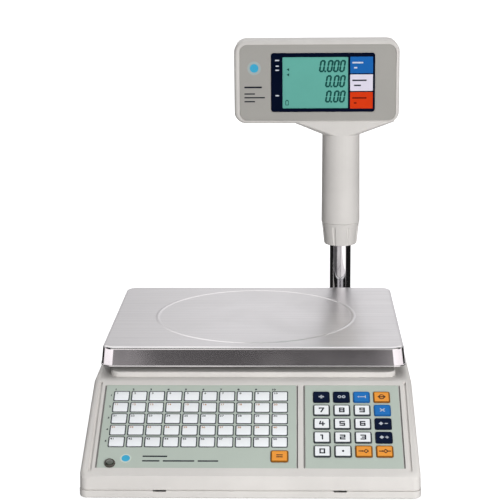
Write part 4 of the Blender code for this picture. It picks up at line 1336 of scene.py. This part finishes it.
class SCALE_OT_sockets(bpy.types.Operator):
    """Mains inlet, rocker switch and data socket on the rear wall"""
    bl_idname = "scale.sockets"
    bl_label = "Sockets"

    def execute(self, context):
        self.inlet()
        self.switch()
        self.serial()
        return {"FINISHED"}

    def inlet(self):
        rear = COVER[1].y
        a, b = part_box("power_inlet")
        body = block((a.x + 0.0033, a.y, a.z + 0.0033), (b.x - 0.0033, rear + 0.001, b.z - 0.0033))
        combine(body, plate(
            (a.x, rear + GAP, a.z), (b.x, b.y, b.z), 0.0025, axis=1, segments=5), "UNION")
        well = plate(
            (a.x + 0.0055, rear - 0.016, a.z + 0.0055), (b.x - 0.0055, b.y + 0.01, b.z - 0.0055),
            0.0022, axis=1, segments=3)
        combine(body, well)
        soften(body, 0.0004)
        finish_piece(body, "inlet", "base", black_material(), "black_plastic", ["power_inlet"])
        middle = (a + b) / 2
        blades = []
        for dx, dz in ((-0.0065, -0.0018), (0.0, 0.0030), (0.0065, -0.0018)):
            blade = plate(
                (middle.x + dx - 0.001, rear - 0.0165, middle.z + dz - 0.002),
                (middle.x + dx + 0.001, rear - 0.002, middle.z + dz + 0.002), 0.0008, axis=1, segments=2)
            blades.append(blade)
        finish_set(blades, "inlet_blades", "base", polished("blade_brass", (0.62, 0.50, 0.28), 0.2))

    def switch(self):
        rear = COVER[1].y
        a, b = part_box("switch_housing")
        body = block((a.x + 0.0023, a.y, a.z + 0.0023), (b.x - 0.0023, rear + 0.001, b.z - 0.0023))
        combine(body, plate((a.x, rear + GAP, a.z), (b.x, b.y, b.z), 0.0015, axis=1, segments=4), "UNION")
        combine(body, block(
            (a.x + 0.0042, rear - 0.012, a.z + 0.0035), (b.x - 0.0042, rear + 0.02, b.z - 0.0035)))
        soften(body, 0.0003)
        finish_piece(
            body, "switch_frame", "base", black_material(), "black_plastic", ["switch_housing"])
        rocker = frame["nodes"]["switch_rocker"].copy()
        rocker.data = rocker.data.copy()
        for key in list(rocker.keys()):
            del rocker[key]
        bpy.context.scene.collection.objects.link(rocker)
        rocker.parent = None
        edit(rocker)
        bpy.ops.mesh.remove_doubles(threshold=1e-6)
        bpy.ops.mesh.dissolve_limited(angle_limit=math.radians(1))
        rest()
        soften(rocker, 0.0004, 3, 20)
        finish_piece(rocker, "rocker", "rocker", black_material(), "black_plastic", ["switch_rocker"])

    def serial(self):
        rear = COVER[1].y
        a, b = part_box("serial_port")
        middle = (a + b) / 2
        body = block((a.x + 0.0058, a.y, a.z + 0.0016), (b.x - 0.0058, rear + 0.001, b.z - 0.0016))
        combine(body, plate(
            (a.x, rear + GAP, a.z), (b.x, rear + 0.0012, b.z), 0.0010, axis=1, segments=3), "UNION")
        x, z = 0.0083, 0.0039
        combine(body, plate(
            (middle.x - x, rear, middle.z - z), (middle.x + x, b.y, middle.z + z), 0.0026, axis=1), "UNION")
        combine(body, plate(
            (middle.x - x + 0.0006, rear + 0.0015, middle.z - z + 0.0006),
            (middle.x + x - 0.0006, b.y + 0.01, middle.z + z - 0.0006), 0.0021, axis=1))
        soften(body, 0.00015, 2)
        nickel = polished("socket_nickel", (0.50, 0.50, 0.48), 0.25)
        finish_piece(body, "data_socket", "base", nickel, "steel", ["serial_port"])
        pins = []
        for row, count in ((1, 5), (-1, 4)):
            for i in range(count):
                px = middle.x + (i - (count - 1) / 2) * 0.00277
                pz = middle.z + row * 0.0014
                pins.append(rod((px, rear + 0.0014, pz), (px, b.y - 0.0006, pz), 0.0005, 12))
        finish_set(pins, "data_pins", "base", polished("pin_gold", (0.72, 0.52, 0.22), 0.2))
        nuts = []
        for side in (-1, 1):
            px = middle.x + side * 0.0128
            nut = rod((px, rear + 0.0012, middle.z), (px, b.y - 0.001, middle.z), 0.0026, 6)
            combine(nut, rod((px, rear + 0.002, middle.z), (px, b.y + 0.01, middle.z), 0.0012, 16))
            nuts.append(soften(nut, 0.0002))
        finish_piece(join(nuts, "data_nuts"), "data_nuts", "base", nickel, "steel")


class SCALE_OT_bracket(bpy.types.Operator):
    """Socket that carries the pole behind the base, with its screws"""
    bl_idname = "scale.bracket"
    bl_label = "Bracket"

    def execute(self, context):
        low, high = BRACKET
        wall = low.y
        radius = high.y - POLE_AXIS.y
        x, y = POLE_AXIS.x, POLE_AXIS.y
        top = high.z - 0.012
        socket = block((x - radius, wall, low.z), (x + radius, high.y, top))
        upright = along(2)
        round_edges(socket, lambda a, b: upright(a, b) and a.y > y, radius - 0.0005, 16)
        round_edges(socket, at_height(2, top), 0.0030, 4)
        round_edges(socket, at_height(2, low.z), 0.0012, 2)
        flange = plate(
            (low.x, wall - 0.0001, low.z + 0.008), (high.x, wall + 0.004, high.z), 0.006, axis=1)
        combine(socket, flange, "UNION")
        foot = POLE[0].z - GAP
        combine(socket, rod((x, y, foot), (x, y, 0.2), (POLE[1].x - POLE[0].x) / 2 + GAP, 64))
        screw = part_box("pole_screw")
        z = (screw[0].z + screw[1].z) / 2
        combine(socket, rod((x, y + 0.010, z), (x, y + 0.030, z), 0.0029, 24))
        soften(socket, 0.0006)
        finish_cover(socket, "pole_socket", "base", "pole_bracket")
        heads = []
        for dx in (-0.0285, 0.0285):
            for dz in (low.z + 0.018, high.z - 0.008):
                heads.append(domed_screw((x + dx, wall + 0.004, dz), 0.0032))
        finish_set(heads, "socket_screws", "base", screw_steel())
        return {"FINISHED"}


# Pole and head

# The head: where its box starts, where the sleeve widens and meets the box, and the neck's measures
BOX_FOOT, WAIST, SHOULDER = 0.3523, 0.335, 0.3531
NECK_LEFT, NECK_RIGHT, NECK_HALF_DEPTH = 0.0449, 0.1795, 0.0240
SLEEVE_TOP, SLEEVE_FOOT = 0.0248, 0.0256
SLEEVE_SIDES = 64
COLLAR_BORE = 0.0176

class SCALE_OT_pole(bpy.types.Operator):
    """Chrome pole, its bush and the fluted lock collar"""
    bl_idname = "scale.pole"
    bl_label = "Pole"

    def execute(self, context):
        r = (POLE[1].x - POLE[0].x) / 2
        axis = tuple(POLE_AXIS)
        low, high = POLE[0].z, POLE[1].z
        wall = 0.0015
        tube = turned([
            (r - 0.0005, low), (r, low + 0.0005), (r, high - 0.0005), (r - 0.0005, high), (r - wall, high),
            (r - wall, low)], axis, 96, True)
        finish_piece(
            smooth(tube), "pole", "base", polished("chrome", (0.74, 0.74, 0.76), 0.05), "chrome",
            ["pole_tube"])
        a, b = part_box("pole_bush")
        bore, wide = r + GAP, (b.x - a.x) / 2
        step = COLLAR[1].z + 0.0008
        bush = turned([
            (bore, a.z), (0.0170, a.z), (0.0172, a.z + 0.0003), (0.0172, step), (wide - 0.0004, step),
            (wide, step + 0.0004), (wide, b.z - 0.0006), (wide - 0.0006, b.z), (bore, b.z)], axis, 72, True)
        finish_piece(smooth(bush), "bush", "mast", black_material(), "black_plastic", ["pole_bush"])
        self.collar()
        return {"FINISHED"}

    def collar(self):
        """The fluted ring: a turned taper with upright hollows cut round it."""
        low, high = COLLAR[0].z, COLLAR[1].z
        large = (COLLAR[1].x - COLLAR[0].x) / 2
        small = large - 0.0031
        ring = turned([
            (COLLAR_BORE, low), (small - 0.0022, low), (small - 0.0008, low + 0.0005), (small, low + 0.0018),
            (large - 0.0002, high - 0.0016), (large, high - 0.0008), (large - 0.0006, high),
            (COLLAR_BORE, high)], tuple(POLE_AXIS), 96, True)
        count = sizes().flutes
        cutters = []
        for i in range(count):
            a = 2 * math.pi * (i + 0.5) / count - math.pi / 2
            out = Vector((math.cos(a), math.sin(a), 0))
            foot = POLE_AXIS + out * (small + 0.0010) + Vector((0, 0, low - 0.004))
            head = POLE_AXIS + out * (large + 0.0004) + Vector((0, 0, high - 0.0045))
            cutters.append(rod(foot, head, 0.0026, 20))
        combine(ring, join(cutters, "hollows"))
        close_seams(ring, 2e-5)
        soften(ring, 0.0003, 2, 30)
        finish_cover(ring, "collar", "collar", "lock_collar")


class SCALE_OT_head(bpy.types.Operator):
    """Two-part head shell with the sleeve that goes down the pole"""
    bl_idname = "scale.head"
    bl_label = "Head"

    def execute(self, context):
        middle = POLE_AXIS.y
        whole = self.solid(0.0)
        combine(whole, self.solid(WALL))
        rear = copy(whole, (0, 0, 0), "rear_shell")
        combine(whole, block((-BEYOND, middle - GAP / 2, 0), (BEYOND, middle + 0.1, 2 * BEYOND)))
        combine(rear, block((-BEYOND, middle - 0.1, 0), (BEYOND, middle + GAP / 2, 2 * BEYOND)))
        front = SHELL_FRONT[0].y
        a, b = FASCIA
        combine(whole, plate(
            (a.x - GAP, front - 0.02, a.z - GAP), (b.x + GAP, b.y + GAP, b.z + GAP), 0.0103,
            axis=1, segments=8))
        a, b = GLASS
        combine(whole, plate(
            (a.x - 0.003, front - 0.02, a.z - 0.003), (b.x + 0.003, front + 0.01, b.z + 0.003), 0.002,
            axis=1))
        self.rear_details(rear)
        for shell in (whole, rear):
            soften(shell, sizes().softness)
        finish_cover(whole, "head_front", "head", "head_front_shell")
        finish_cover(rear, "head_rear", "head", "head_rear_shell")
        return {"FINISHED"}

    def solid(self, inset):
        """The head's rounded box joined to the flare and sleeve, drawn in by an inset."""
        low = Vector((SHELL_FRONT[0].x, SHELL_FRONT[0].y, BOX_FOOT))
        high = Vector((SHELL_FRONT[1].x, SHELL_REAR[1].y, SHELL_FRONT[1].z))
        by = Vector((inset, inset, inset))
        low, high = low + by, high - by
        box = plate(low, high, 0.015 - inset, axis=1, segments=8)
        for depth in (low.y, high.y):
            round_edges(box, at_height(1, depth), 0.0048 - inset * 0.5, 5)
        return combine(box, self.neck(inset, low.z + 0.008), "UNION")

    def neck(self, inset, top):
        """A round sleeve, bridged to a wide rounded rectangle under the head."""
        x, y = POLE_AXIS.x, POLE_AXIS.y
        bottom = SHELL_FRONT[0].z - (0.01 if inset else 0.0)
        left, right = NECK_LEFT + inset, NECK_RIGHT - inset
        shoulder = SHOULDER + inset * 0.5
        half = NECK_HALF_DEPTH - inset
        rest()
        bpy.ops.mesh.primitive_plane_add(size=1.0, location=((left + right) / 2, y, shoulder))
        wide = bpy.context.object
        wide.scale = (right - left, half * 2, 1.0)
        settle(wide)
        edit(wide)
        bpy.ops.mesh.bevel(offset=0.011 - inset, segments=15, affect="VERTICES")
        bpy.ops.mesh.delete(type="ONLY_FACE")
        rest()
        bpy.ops.mesh.primitive_circle_add(
            vertices=SLEEVE_SIDES, radius=SLEEVE_TOP - inset, location=(x, y, WAIST),
            rotation=(0, 0, math.pi / SLEEVE_SIDES))
        narrow = settle(bpy.context.object)
        neck = join([wide, narrow], "neck")
        edit(neck, "EDGE")
        bpy.ops.mesh.bridge_edge_loops()
        widening = (SLEEVE_FOOT - inset) / (SLEEVE_TOP - inset)
        self.stretch(neck, WAIST, bottom, widening, (x, y, bottom))
        self.stretch(neck, shoulder, top, 1.0, (x, y, top))
        bpy.ops.object.mode_set(mode="EDIT")
        bpy.ops.mesh.select_all(action="SELECT")
        bpy.ops.mesh.fill_holes(sides=0)
        face_outwards()
        return neck

    def stretch(self, obj, level, to, k, centre):
        """Extrudes the open ring at one level to another, scaled by k."""
        select_edges(obj, at_height(2, level))
        bpy.ops.mesh.extrude_region_move(TRANSFORM_OT_translate={"value": (0, 0, to - level)})
        bpy.ops.transform.resize(value=(k, k, 1), center_override=centre)
        rest()

    def rear_details(self, rear):
        """Vents, screw wells and their screws in the rear shell."""
        back = SHELL_REAR[1].y
        middle = (SHELL_REAR[0].x + SHELL_REAR[1].x) / 2
        for i in range(7):
            z = 0.395 + 0.0075 * i
            combine(rear, plate(
                (middle - 0.030, back - 0.01, z - 0.0013), (middle + 0.030, back + 0.01, z + 0.0013),
                0.0012, axis=1, segments=3))
        screws = []
        for dx in (-0.088, 0.088):
            for z in (0.368, 0.445):
                at = (middle + dx, back - 0.0016, z)
                combine(rear, rod((at[0], at[1], z), (at[0], back + 0.01, z), 0.0042))
                screws.append(domed_screw(at, 0.0030))
        finish_set(screws, "head_screws", "head", screw_steel())


# Middle and size of each bar of the small open box under the display's pointers
BATTERY_SIGN = (
    (0, 0, 0.0040, 0.0008), (0, 0.0055, 0.0040, 0.0008), (-0.0018, 0.0027, 0.0008, 0.0055),
    (0.0018, 0.0027, 0.0008, 0.0055), (0, 0.0063, 0.0018, 0.0009))


class SCALE_OT_display(bpy.types.Operator):
    """Fascia, window border, liquid crystal figures and the three labels"""
    bl_idname = "scale.display"
    bl_label = "Display"

    def execute(self, context):
        self.fascia()
        self.window()
        self.glass()
        self.figures()
        self.labels()
        self.marks()
        return {"FINISHED"}

    def fascia(self):
        a, b = FASCIA
        fascia = plate(a, b, 0.010, axis=1, segments=8)
        w, v = WINDOW
        combine(fascia, plate(
            (w.x - GAP, a.y - 0.01, w.z - GAP), (v.x + GAP, b.y + 0.01, v.z + GAP), 0.004,
            axis=1, segments=6))
        soften(fascia, 0.0001, 1)
        material = moulded("fascia_grey", tuple(colours().fascia), 0.42, 2600.0, 0.000015, 0.0, 0.03)
        finish_piece(fascia, "fascia", "head", material, "fascia_grey", ["head_fascia"])

    def gloss(self, name, base, roughness=0.20):
        """Printed colour under a clear hard coat."""
        return moulded(name, base, roughness, 2600.0, 0.000002, 0.0, 0.04, Specular_IOR_Level=0.05)

    def window(self):
        """The dark border, open over the liquid crystal glass."""
        a, b = WINDOW
        pane = plate(a, b, 0.0037, axis=1, segments=6)
        g, h = GLASS
        combine(pane, plate(
            (g.x + 0.0004, a.y - 0.01, g.z + 0.0004), (h.x - 0.0004, b.y + 0.01, h.z - 0.0004),
            0.0006, axis=1, segments=2))
        soften(pane, 0.0002, 2)
        finish_piece(
            pane, "window_border", "head", self.gloss("window_navy", tuple(colours().window)),
            "window_navy", ["display_window"])

    def glass(self):
        """The liquid crystal glass, standing just behind the border."""
        a, b = GLASS
        pane = block((a.x, WINDOW[1].y + 0.0003, a.z), b)
        soften(pane, 0.0002, 2)
        material, tree, shader, vector = start_material("lcd_glass", 0.28, Specular_IOR_Level=0.25)
        grain = place_group(tree, grain_group(), vector, Pebble=2400.0, Mottle=18.0)
        base = tuple(colours().glass)
        tree.links.new(
            mixed(tree, grain.outputs["Mottle"], shade(base, 0.96), shade(base, 1.05)),
            shader.inputs["Base Color"])
        bump(tree, shader, grain.outputs["Height"], 0.000001)
        finish_piece(pane, "lcd_pane", "head", material, "lcd_glass", ["lcd_panel"])

    def zero(self, height, width, stroke):
        """The six lit segments of a nought."""
        gap = stroke * 0.07
        mid = height / 2
        bars = []
        for z in (stroke / 2, height - stroke / 2):
            bars.append(block(
                (stroke / 2 + gap, -INLAY, z - stroke / 2),
                (width - stroke / 2 - gap, 0.0, z + stroke / 2)))
        for x in (stroke / 2, width - stroke / 2):
            for low, high in ((stroke / 2 + gap, mid - gap), (mid + gap, height - stroke / 2 - gap)):
                bars.append(block((x - stroke / 2, -INLAY, low), (x + stroke / 2, 0.0, high)))
        for bar in bars:
            round_edges(bar, along(1), stroke * 0.34, 1)
        zero = join(bars, "zero")
        lean = math.tan(sizes().slant)
        for level in sorted({round(v.co.z, 5) for v in zero.data.vertices}):
            edit(zero, "VERT", "DESELECT")
            bpy.ops.object.mode_set(mode="OBJECT")
            for vertex in zero.data.vertices:
                vertex.select = abs(vertex.co.z - level) < 1.1e-5
            bpy.ops.object.mode_set(mode="EDIT")
            bpy.ops.transform.translate(value=(level * lean, 0, 0))
            rest()
        return zero

    def figures(self):
        """Three right-aligned rows: one with three places after the point, two with two."""
        s = sizes()
        height, stroke = s.digit_height, s.stroke
        width = height * 0.46
        pitch = height * 0.500
        a, b = GLASS
        face = WINDOW[1].y + 0.0003
        right = b.x - 0.0055
        span = b.z - a.z
        zero = self.zero(height, width, stroke)
        pieces = []
        for share, places in ((0.700, 3), (0.408, 2), (0.112, 2)):
            foot = a.z + span * share
            for i in range(places + 1):
                x = right - width - pitch * i - (stroke * 0.9 if i == places else 0.0)
                pieces.append(copy(zero, (x, face, foot)))
            point = block((-stroke / 2, -INLAY, 0), (stroke / 2, 0, stroke))
            x = right - pitch * places - stroke * 0.35
            pieces.append(copy(point, (x, face, foot)))
            bpy.data.objects.remove(point)
        bpy.data.objects.remove(zero)
        rows = join(pieces, "figures")
        ink = ink_material("segment_ink", tuple(colours().segment))
        finish_piece(rows, "figures", "head", ink, "lcd_glass")
        small = []
        for share in (0.755, 0.655):
            z = a.z + span * share
            rest()
            bpy.ops.mesh.primitive_cylinder_add(
                vertices=3, radius=0.0023, depth=INLAY, location=(a.x + 0.0078, face - INLAY / 2, z),
                rotation=(math.radians(90), math.radians(-90), 0))
            small.append(settle(bpy.context.object))
        z = a.z + span * 0.07
        x = a.x + 0.0062
        for px, pz, w, h in BATTERY_SIGN:
            small.append(block(
                (x + px - w / 2, face - INLAY, z + pz - h / 2), (x + px + w / 2, face, z + pz + h / 2)))
        finish_piece(join(small, "indicators"), "indicators", "head", ink, "lcd_glass")

    def labels(self):
        """Blue, white and red labels at the right of the glass."""
        a, b = GLASS
        w, v = WINDOW
        low_x, high_x = b.x + 0.0020, v.x - 0.0026
        span = b.z - a.z
        step = (span - 0.0030) / 3
        paints = (("label_red", "key_orange"), ("label_white", "key_white"), ("label_blue", "key_blue"))
        for i, (name, slot) in enumerate(paints):
            z = a.z + i * (step + 0.0015)
            label = plate((low_x, w.y - 0.00012, z), (high_x, w.y + 0.0001, z + step), 0.0006, axis=1)
            paint = self.gloss(name, tuple(getattr(colours(), name)), 0.3)
            finish_piece(smooth(label), name, "head", paint, slot)
        bars = []
        for i, widths in enumerate(((0.0185, 0.0034), (0.0185, 0.0090), (0.0140, 0.0040))):
            z = a.z + i * (step + 0.0015) + step * 0.60
            for k, width in enumerate(widths):
                x = low_x + 0.0028 + 0.0022 * k
                foot = z - 0.0066 * k
                bars.append((i, block((x, w.y - 0.0002, foot), (x + width, w.y - 0.0001, foot + 0.0019))))
        inks = (ink_material("ink_red", (0.16, 0.012, 0.004)), ink_material(), label_ink())
        for i, ink in enumerate(inks):
            rules = join([bar for k, bar in bars if k == i], "rules")
            finish_piece(rules, "label_rules_%d" % i, "head", ink, "window_navy")

    def marks(self):
        """Small pale marks beside the glass and a plain badge with rules on the fascia."""
        a, b = GLASS
        w = WINDOW[0]
        dashes = []
        for share, width in ((0.935, 0.0058), (0.825, 0.0044), (0.745, 0.0050), (0.255, 0.0048)):
            z = a.z + (b.z - a.z) * share
            x = a.x - 0.0066
            dashes.append(plate(
                (x - width / 2, w.y - 0.0001, z - 0.0008), (x + width / 2, w.y + 0.0001, z + 0.0008),
                0.0006, axis=1, segments=2))
        finish_piece(join(dashes, "window_marks"), "window_marks", "head", label_ink(), "key_white")
        f = FASCIA[0]
        at = (f.x + 0.0188, f.y, f.z + 0.0684)
        halo = turned([(0.0088, 0.0), (0.0088, 0.00004), (0.0086, 0.0001)], at, 40, facing=(0, -1, 0))
        pale = ink_material("badge_haze", (0.40, 0.47, 0.47))
        finish_piece(smooth(halo), "head_badge_rim", "head", pale, "key_white")
        badge = turned([(0.0056, 0.0), (0.0056, 0.00014), (0.0053, 0.0002)], at, 36, facing=(0, -1, 0))
        finish_piece(smooth(badge), "head_badge", "head", badge_material(), "key_blue")
        rules = []
        for up, width, tall in (
                (0.0436, 0.0230, 0.0021), (0.0350, 0.0140, 0.0016), (0.0301, 0.0270, 0.0016),
                (0.0249, 0.0140, 0.0016)):
            rules.append(plate(
                (f.x + 0.0058, f.y - 0.0001, f.z + up - tall / 2),
                (f.x + 0.0058 + width, f.y + 0.0001, f.z + up + tall / 2), 0.0006, axis=1, segments=2))
        finish_piece(join(rules, "fascia_rules"), "fascia_rules", "head", ink_material(), "key_navy")


# Stage

# What mirrors see, as brightness against the sideways part of the direction, -1 to 1
SEEN_AHEAD = (
    (-0.99, 1.4), (-0.20, 1.5), (-0.158, 1.0), (-0.128, 0.14), (0.066, 0.085), (0.090, 0.8), (0.13, 1.5),
    (0.99, 1.4))
SEEN_BELOW = (
    (-0.60, 0.01), (-0.52, 1.1), (-0.05, 1.3), (0.0, 0.45), (0.05, 0.45), (0.10, 1.6), (0.80, 1.6),
    (0.88, 0.01))
SEEN_AT_BACK = (
    (-0.52, 0.012), (-0.44, 0.75), (-0.08, 0.95), (0.0, 0.30), (0.08, 0.80), (0.44, 0.75), (0.52, 0.012))
SEEN_BEHIND = (
    (-0.99, 0.70), (-0.50, 0.55), (-0.20, 0.48), (-0.13, 0.56), (-0.10, 0.65), (-0.075, 0.71),
    (-0.055, 0.87), (-0.03, 0.93), (-0.01, 0.90), (0.02, 0.85), (0.045, 0.90), (0.08, 0.83), (0.30, 0.65),
    (0.99, 0.70))

# Heights and depths of the direction, -1 to 1, over which one zone gives way to the next
AHEAD_STARTS, AHEAD_ENDS, FRONT_ENDS = (-0.19, -0.15), (0.07, 0.14), (0.42, 0.52)
FRONT_DEPTH, BACK_DEPTH = (0.35, 0.15), (0.5, 0.7)
BEHIND_DEPTH, BEHIND_HEIGHT = (0.0, 0.3), (0.0, 0.12)
OVER_DEPTH, OVER_HEIGHT, TOP_HEIGHT = (0.1, 0.4), (0.40, 0.52), (0.70, 0.90)

# Each soft light's place and size; its power is a setting
LIGHTS = {
    "key": ((0.95, -2.25, 0.52), (1.0, 0.8)),
    "fill": ((-1.6, -2.0, 1.5), (1.2, 1.0)),
    "top": ((0.2, 1.0, 2.2), (1.8, 0.9)),
    "rear": ((-0.9, 2.6, 0.9), (1.4, 1.0)),
}
AIM = Vector((0, 0, 0.15))


class SCALE_OT_stage(bpy.types.Operator):
    """Pale floor, soft lights and the camera"""
    bl_idname = "scale.stage"
    bl_label = "Stage"

    def execute(self, context):
        stage = context.scene.scale_stage
        context.scene.view_settings.view_transform = "Standard"
        self.floor()
        self.world()
        for name, (at, size) in LIGHTS.items():
            self.light(name + "_light", at, size, getattr(stage, name + "_power"))
        self.camera(stage)
        return {"FINISHED"}

    def floor(self):
        """A pale floor that glows a little, left out of reflections."""
        rest()
        bpy.ops.mesh.primitive_plane_add(size=40.0, location=(0, 0, 0))
        floor = bpy.context.object
        floor.name = "floor"
        material, tree, shader, vector = start_material("floor_white", 0.9, Specular_IOR_Level=0.0)
        noise = add_node(tree, "TexNoise", {"Vector": vector, "Scale": 3.0})
        pale = mixed(tree, noise.outputs["Fac"], (0.45, 0.45, 0.45), (0.47, 0.47, 0.47))
        tree.links.new(pale, shader.inputs["Base Color"])
        shader.inputs["Emission Color"].default_value = (1.0, 1.0, 1.0, 1.0)
        seen = add_node(tree, "LightPath").outputs["Is Camera Ray"]
        away = add_node(tree, "VectorMath", {0: vector}, operation="LENGTH").outputs["Value"]
        far = math_node(tree, "MULTIPLY", ramp(tree, away, 0.5, 2.5), 0.25)
        glow = math_node(
            tree, "MULTIPLY", seen, math_node(tree, "ADD", far, bpy.context.scene.scale_stage.floor_glow))
        tree.links.new(glow, shader.inputs["Emission Strength"])
        floor.data.materials.append(material)
        floor.visible_glossy = False

    def world(self):
        """Even light for surfaces, white for the camera, and soft boxes for reflections."""
        stage = bpy.context.scene.scale_stage
        world = bpy.data.worlds.new("studio")
        bpy.context.scene.world = world
        world.use_nodes = True
        tree = world.node_tree
        tree.nodes.clear()
        direction = add_node(tree, "TexCoord").outputs["Generated"]
        split = add_node(tree, "SeparateXYZ", {0: direction})
        side, depth, height = (split.outputs[axis] for axis in "XYZ")
        low = self.bands(tree, side, SEEN_BELOW, (1.0, 0.96, 0.95))
        ahead = self.bands(tree, side, SEEN_AHEAD, (1.0, 0.94, 0.97))
        level = mixed(tree, ramp(tree, height, *AHEAD_STARTS), low, ahead)
        level = mixed(tree, ramp(tree, height, *AHEAD_ENDS), level, low)
        level = mixed(tree, ramp(tree, height, *FRONT_ENDS), level, (0.02, 0.02, 0.02))
        at_back = self.bands(tree, side, SEEN_AT_BACK, (1.0, 0.98, 1.0))
        lit = mixed(tree, ramp(tree, depth, *BACK_DEPTH), (0.012, 0.012, 0.012), at_back)
        lit = mixed(tree, ramp(tree, depth, *FRONT_DEPTH), lit, level)
        is_behind = math_node(
            tree, "MULTIPLY", ramp(tree, depth, *BEHIND_DEPTH), ramp(tree, height, *BEHIND_HEIGHT))
        lit = mixed(tree, is_behind, lit, self.bands(tree, side, SEEN_BEHIND, (1.0, 0.985, 1.01)))
        is_over = math_node(
            tree, "MULTIPLY", ramp(tree, height, *OVER_HEIGHT), ramp(tree, depth, *OVER_DEPTH))
        lit = mixed(tree, is_over, lit, (1.45, 1.43, 1.42))
        lit = mixed(tree, ramp(tree, height, *TOP_HEIGHT), lit, (1.20, 1.20, 1.20))
        path = add_node(tree, "LightPath")
        even = add_node(tree, "Background", {"Color": (1, 1, 1, 1), "Strength": stage.ambient})
        seen = add_node(tree, "Background", {"Color": (1, 1, 1, 1), "Strength": 1.05})
        mirrored = add_node(tree, "Background", {"Color": lit, "Strength": 1.0})
        first = add_node(tree, "MixShader", {0: path.outputs["Is Glossy Ray"]})
        tree.links.new(even.outputs[0], first.inputs[1])
        tree.links.new(mirrored.outputs[0], first.inputs[2])
        second = add_node(tree, "MixShader", {0: path.outputs["Is Camera Ray"]})
        tree.links.new(first.outputs[0], second.inputs[1])
        tree.links.new(seen.outputs[0], second.inputs[2])
        out = add_node(tree, "OutputWorld")
        tree.links.new(second.outputs[0], out.inputs["Surface"])

    def bands(self, tree, side, levels, tint):
        """Brightness bands along one direction."""
        made = add_node(tree, "ValToRGB", {"Fac": ramp(tree, side, -1.0, 1.0)})
        stops = made.color_ramp.elements
        for where, level in levels:
            stop = stops.new((where + 1.0) / 2)
            stop.color = (*(level * part for part in tint), 1.0)
        stops.remove(stops[0])
        stops.remove(stops[-1])
        return made.outputs["Color"]

    def light(self, name, at, size, power):
        """A soft rectangular light aimed at the scale."""
        rest()
        bpy.ops.object.light_add(type="AREA", location=at)
        lamp = bpy.context.object
        lamp.name = name
        lamp.data.shape = "RECTANGLE"
        lamp.data.size, lamp.data.size_y = size
        lamp.data.energy = power
        lamp.visible_glossy = False
        lamp.visible_camera = False
        lamp.rotation_euler = (AIM - Vector(at)).to_track_quat("-Z", "Y").to_euler()

    def camera(self, stage):
        rest()
        bpy.ops.object.camera_add(location=tuple(stage.place))
        camera = bpy.context.object
        camera.name = "camera"
        camera.data.lens = stage.lens
        camera.data.sensor_width = 36.0
        camera.data.clip_start, camera.data.clip_end = 0.05, 100.0
        turned_to = (
            Matrix.Rotation(stage.yaw, 3, "Z")
            @ Matrix.Rotation(math.radians(90) - stage.pitch, 3, "X")
            @ Matrix.Rotation(stage.roll, 3, "Z"))
        camera.rotation_euler = turned_to.to_euler()
        bpy.context.scene.camera = camera


# Panel and running

STEPS = (
    SCALE_OT_casing, SCALE_OT_bottom, SCALE_OT_films, SCALE_OT_keys, SCALE_OT_level, SCALE_OT_pan,
    SCALE_OT_feet, SCALE_OT_sockets, SCALE_OT_bracket, SCALE_OT_pole, SCALE_OT_head, SCALE_OT_display,
    SCALE_OT_frame_finishes, SCALE_OT_stage)


class SCALE_PT_panel(bpy.types.Panel):
    """Lists the settings and the steps"""
    bl_idname = "SCALE_PT_panel"
    bl_label = "Price Computing Scale"
    bl_space_type = "VIEW_3D"
    bl_region_type = "UI"
    bl_category = "Scale"

    def draw(self, context):
        for step in STEPS:
            self.layout.operator(step.bl_idname)
        for group in (context.scene.scale_colours, context.scene.scale_sizes, context.scene.scale_stage):
            box = self.layout.box()
            for name in group.bl_rna.properties.keys():
                if name not in ("rna_type", "name"):
                    box.prop(group, name)


CLASSES = (ScaleColours, ScaleSizes, ScaleStage, *STEPS, SCALE_PT_panel)


def register():
    for one in CLASSES:
        bpy.utils.register_class(one)
    bpy.types.Scene.scale_colours = PointerProperty(type=ScaleColours)
    bpy.types.Scene.scale_sizes = PointerProperty(type=ScaleSizes)
    bpy.types.Scene.scale_stage = PointerProperty(type=ScaleStage)


def unregister():
    del bpy.types.Scene.scale_stage
    del bpy.types.Scene.scale_sizes
    del bpy.types.Scene.scale_colours
    for one in reversed(CLASSES):
        bpy.utils.unregister_class(one)


def main():
    register()
    for step in STEPS:
        category, name = step.bl_idname.split(".")
        getattr(getattr(bpy.ops, category), name)()


if __name__ == "__main__":
    main()
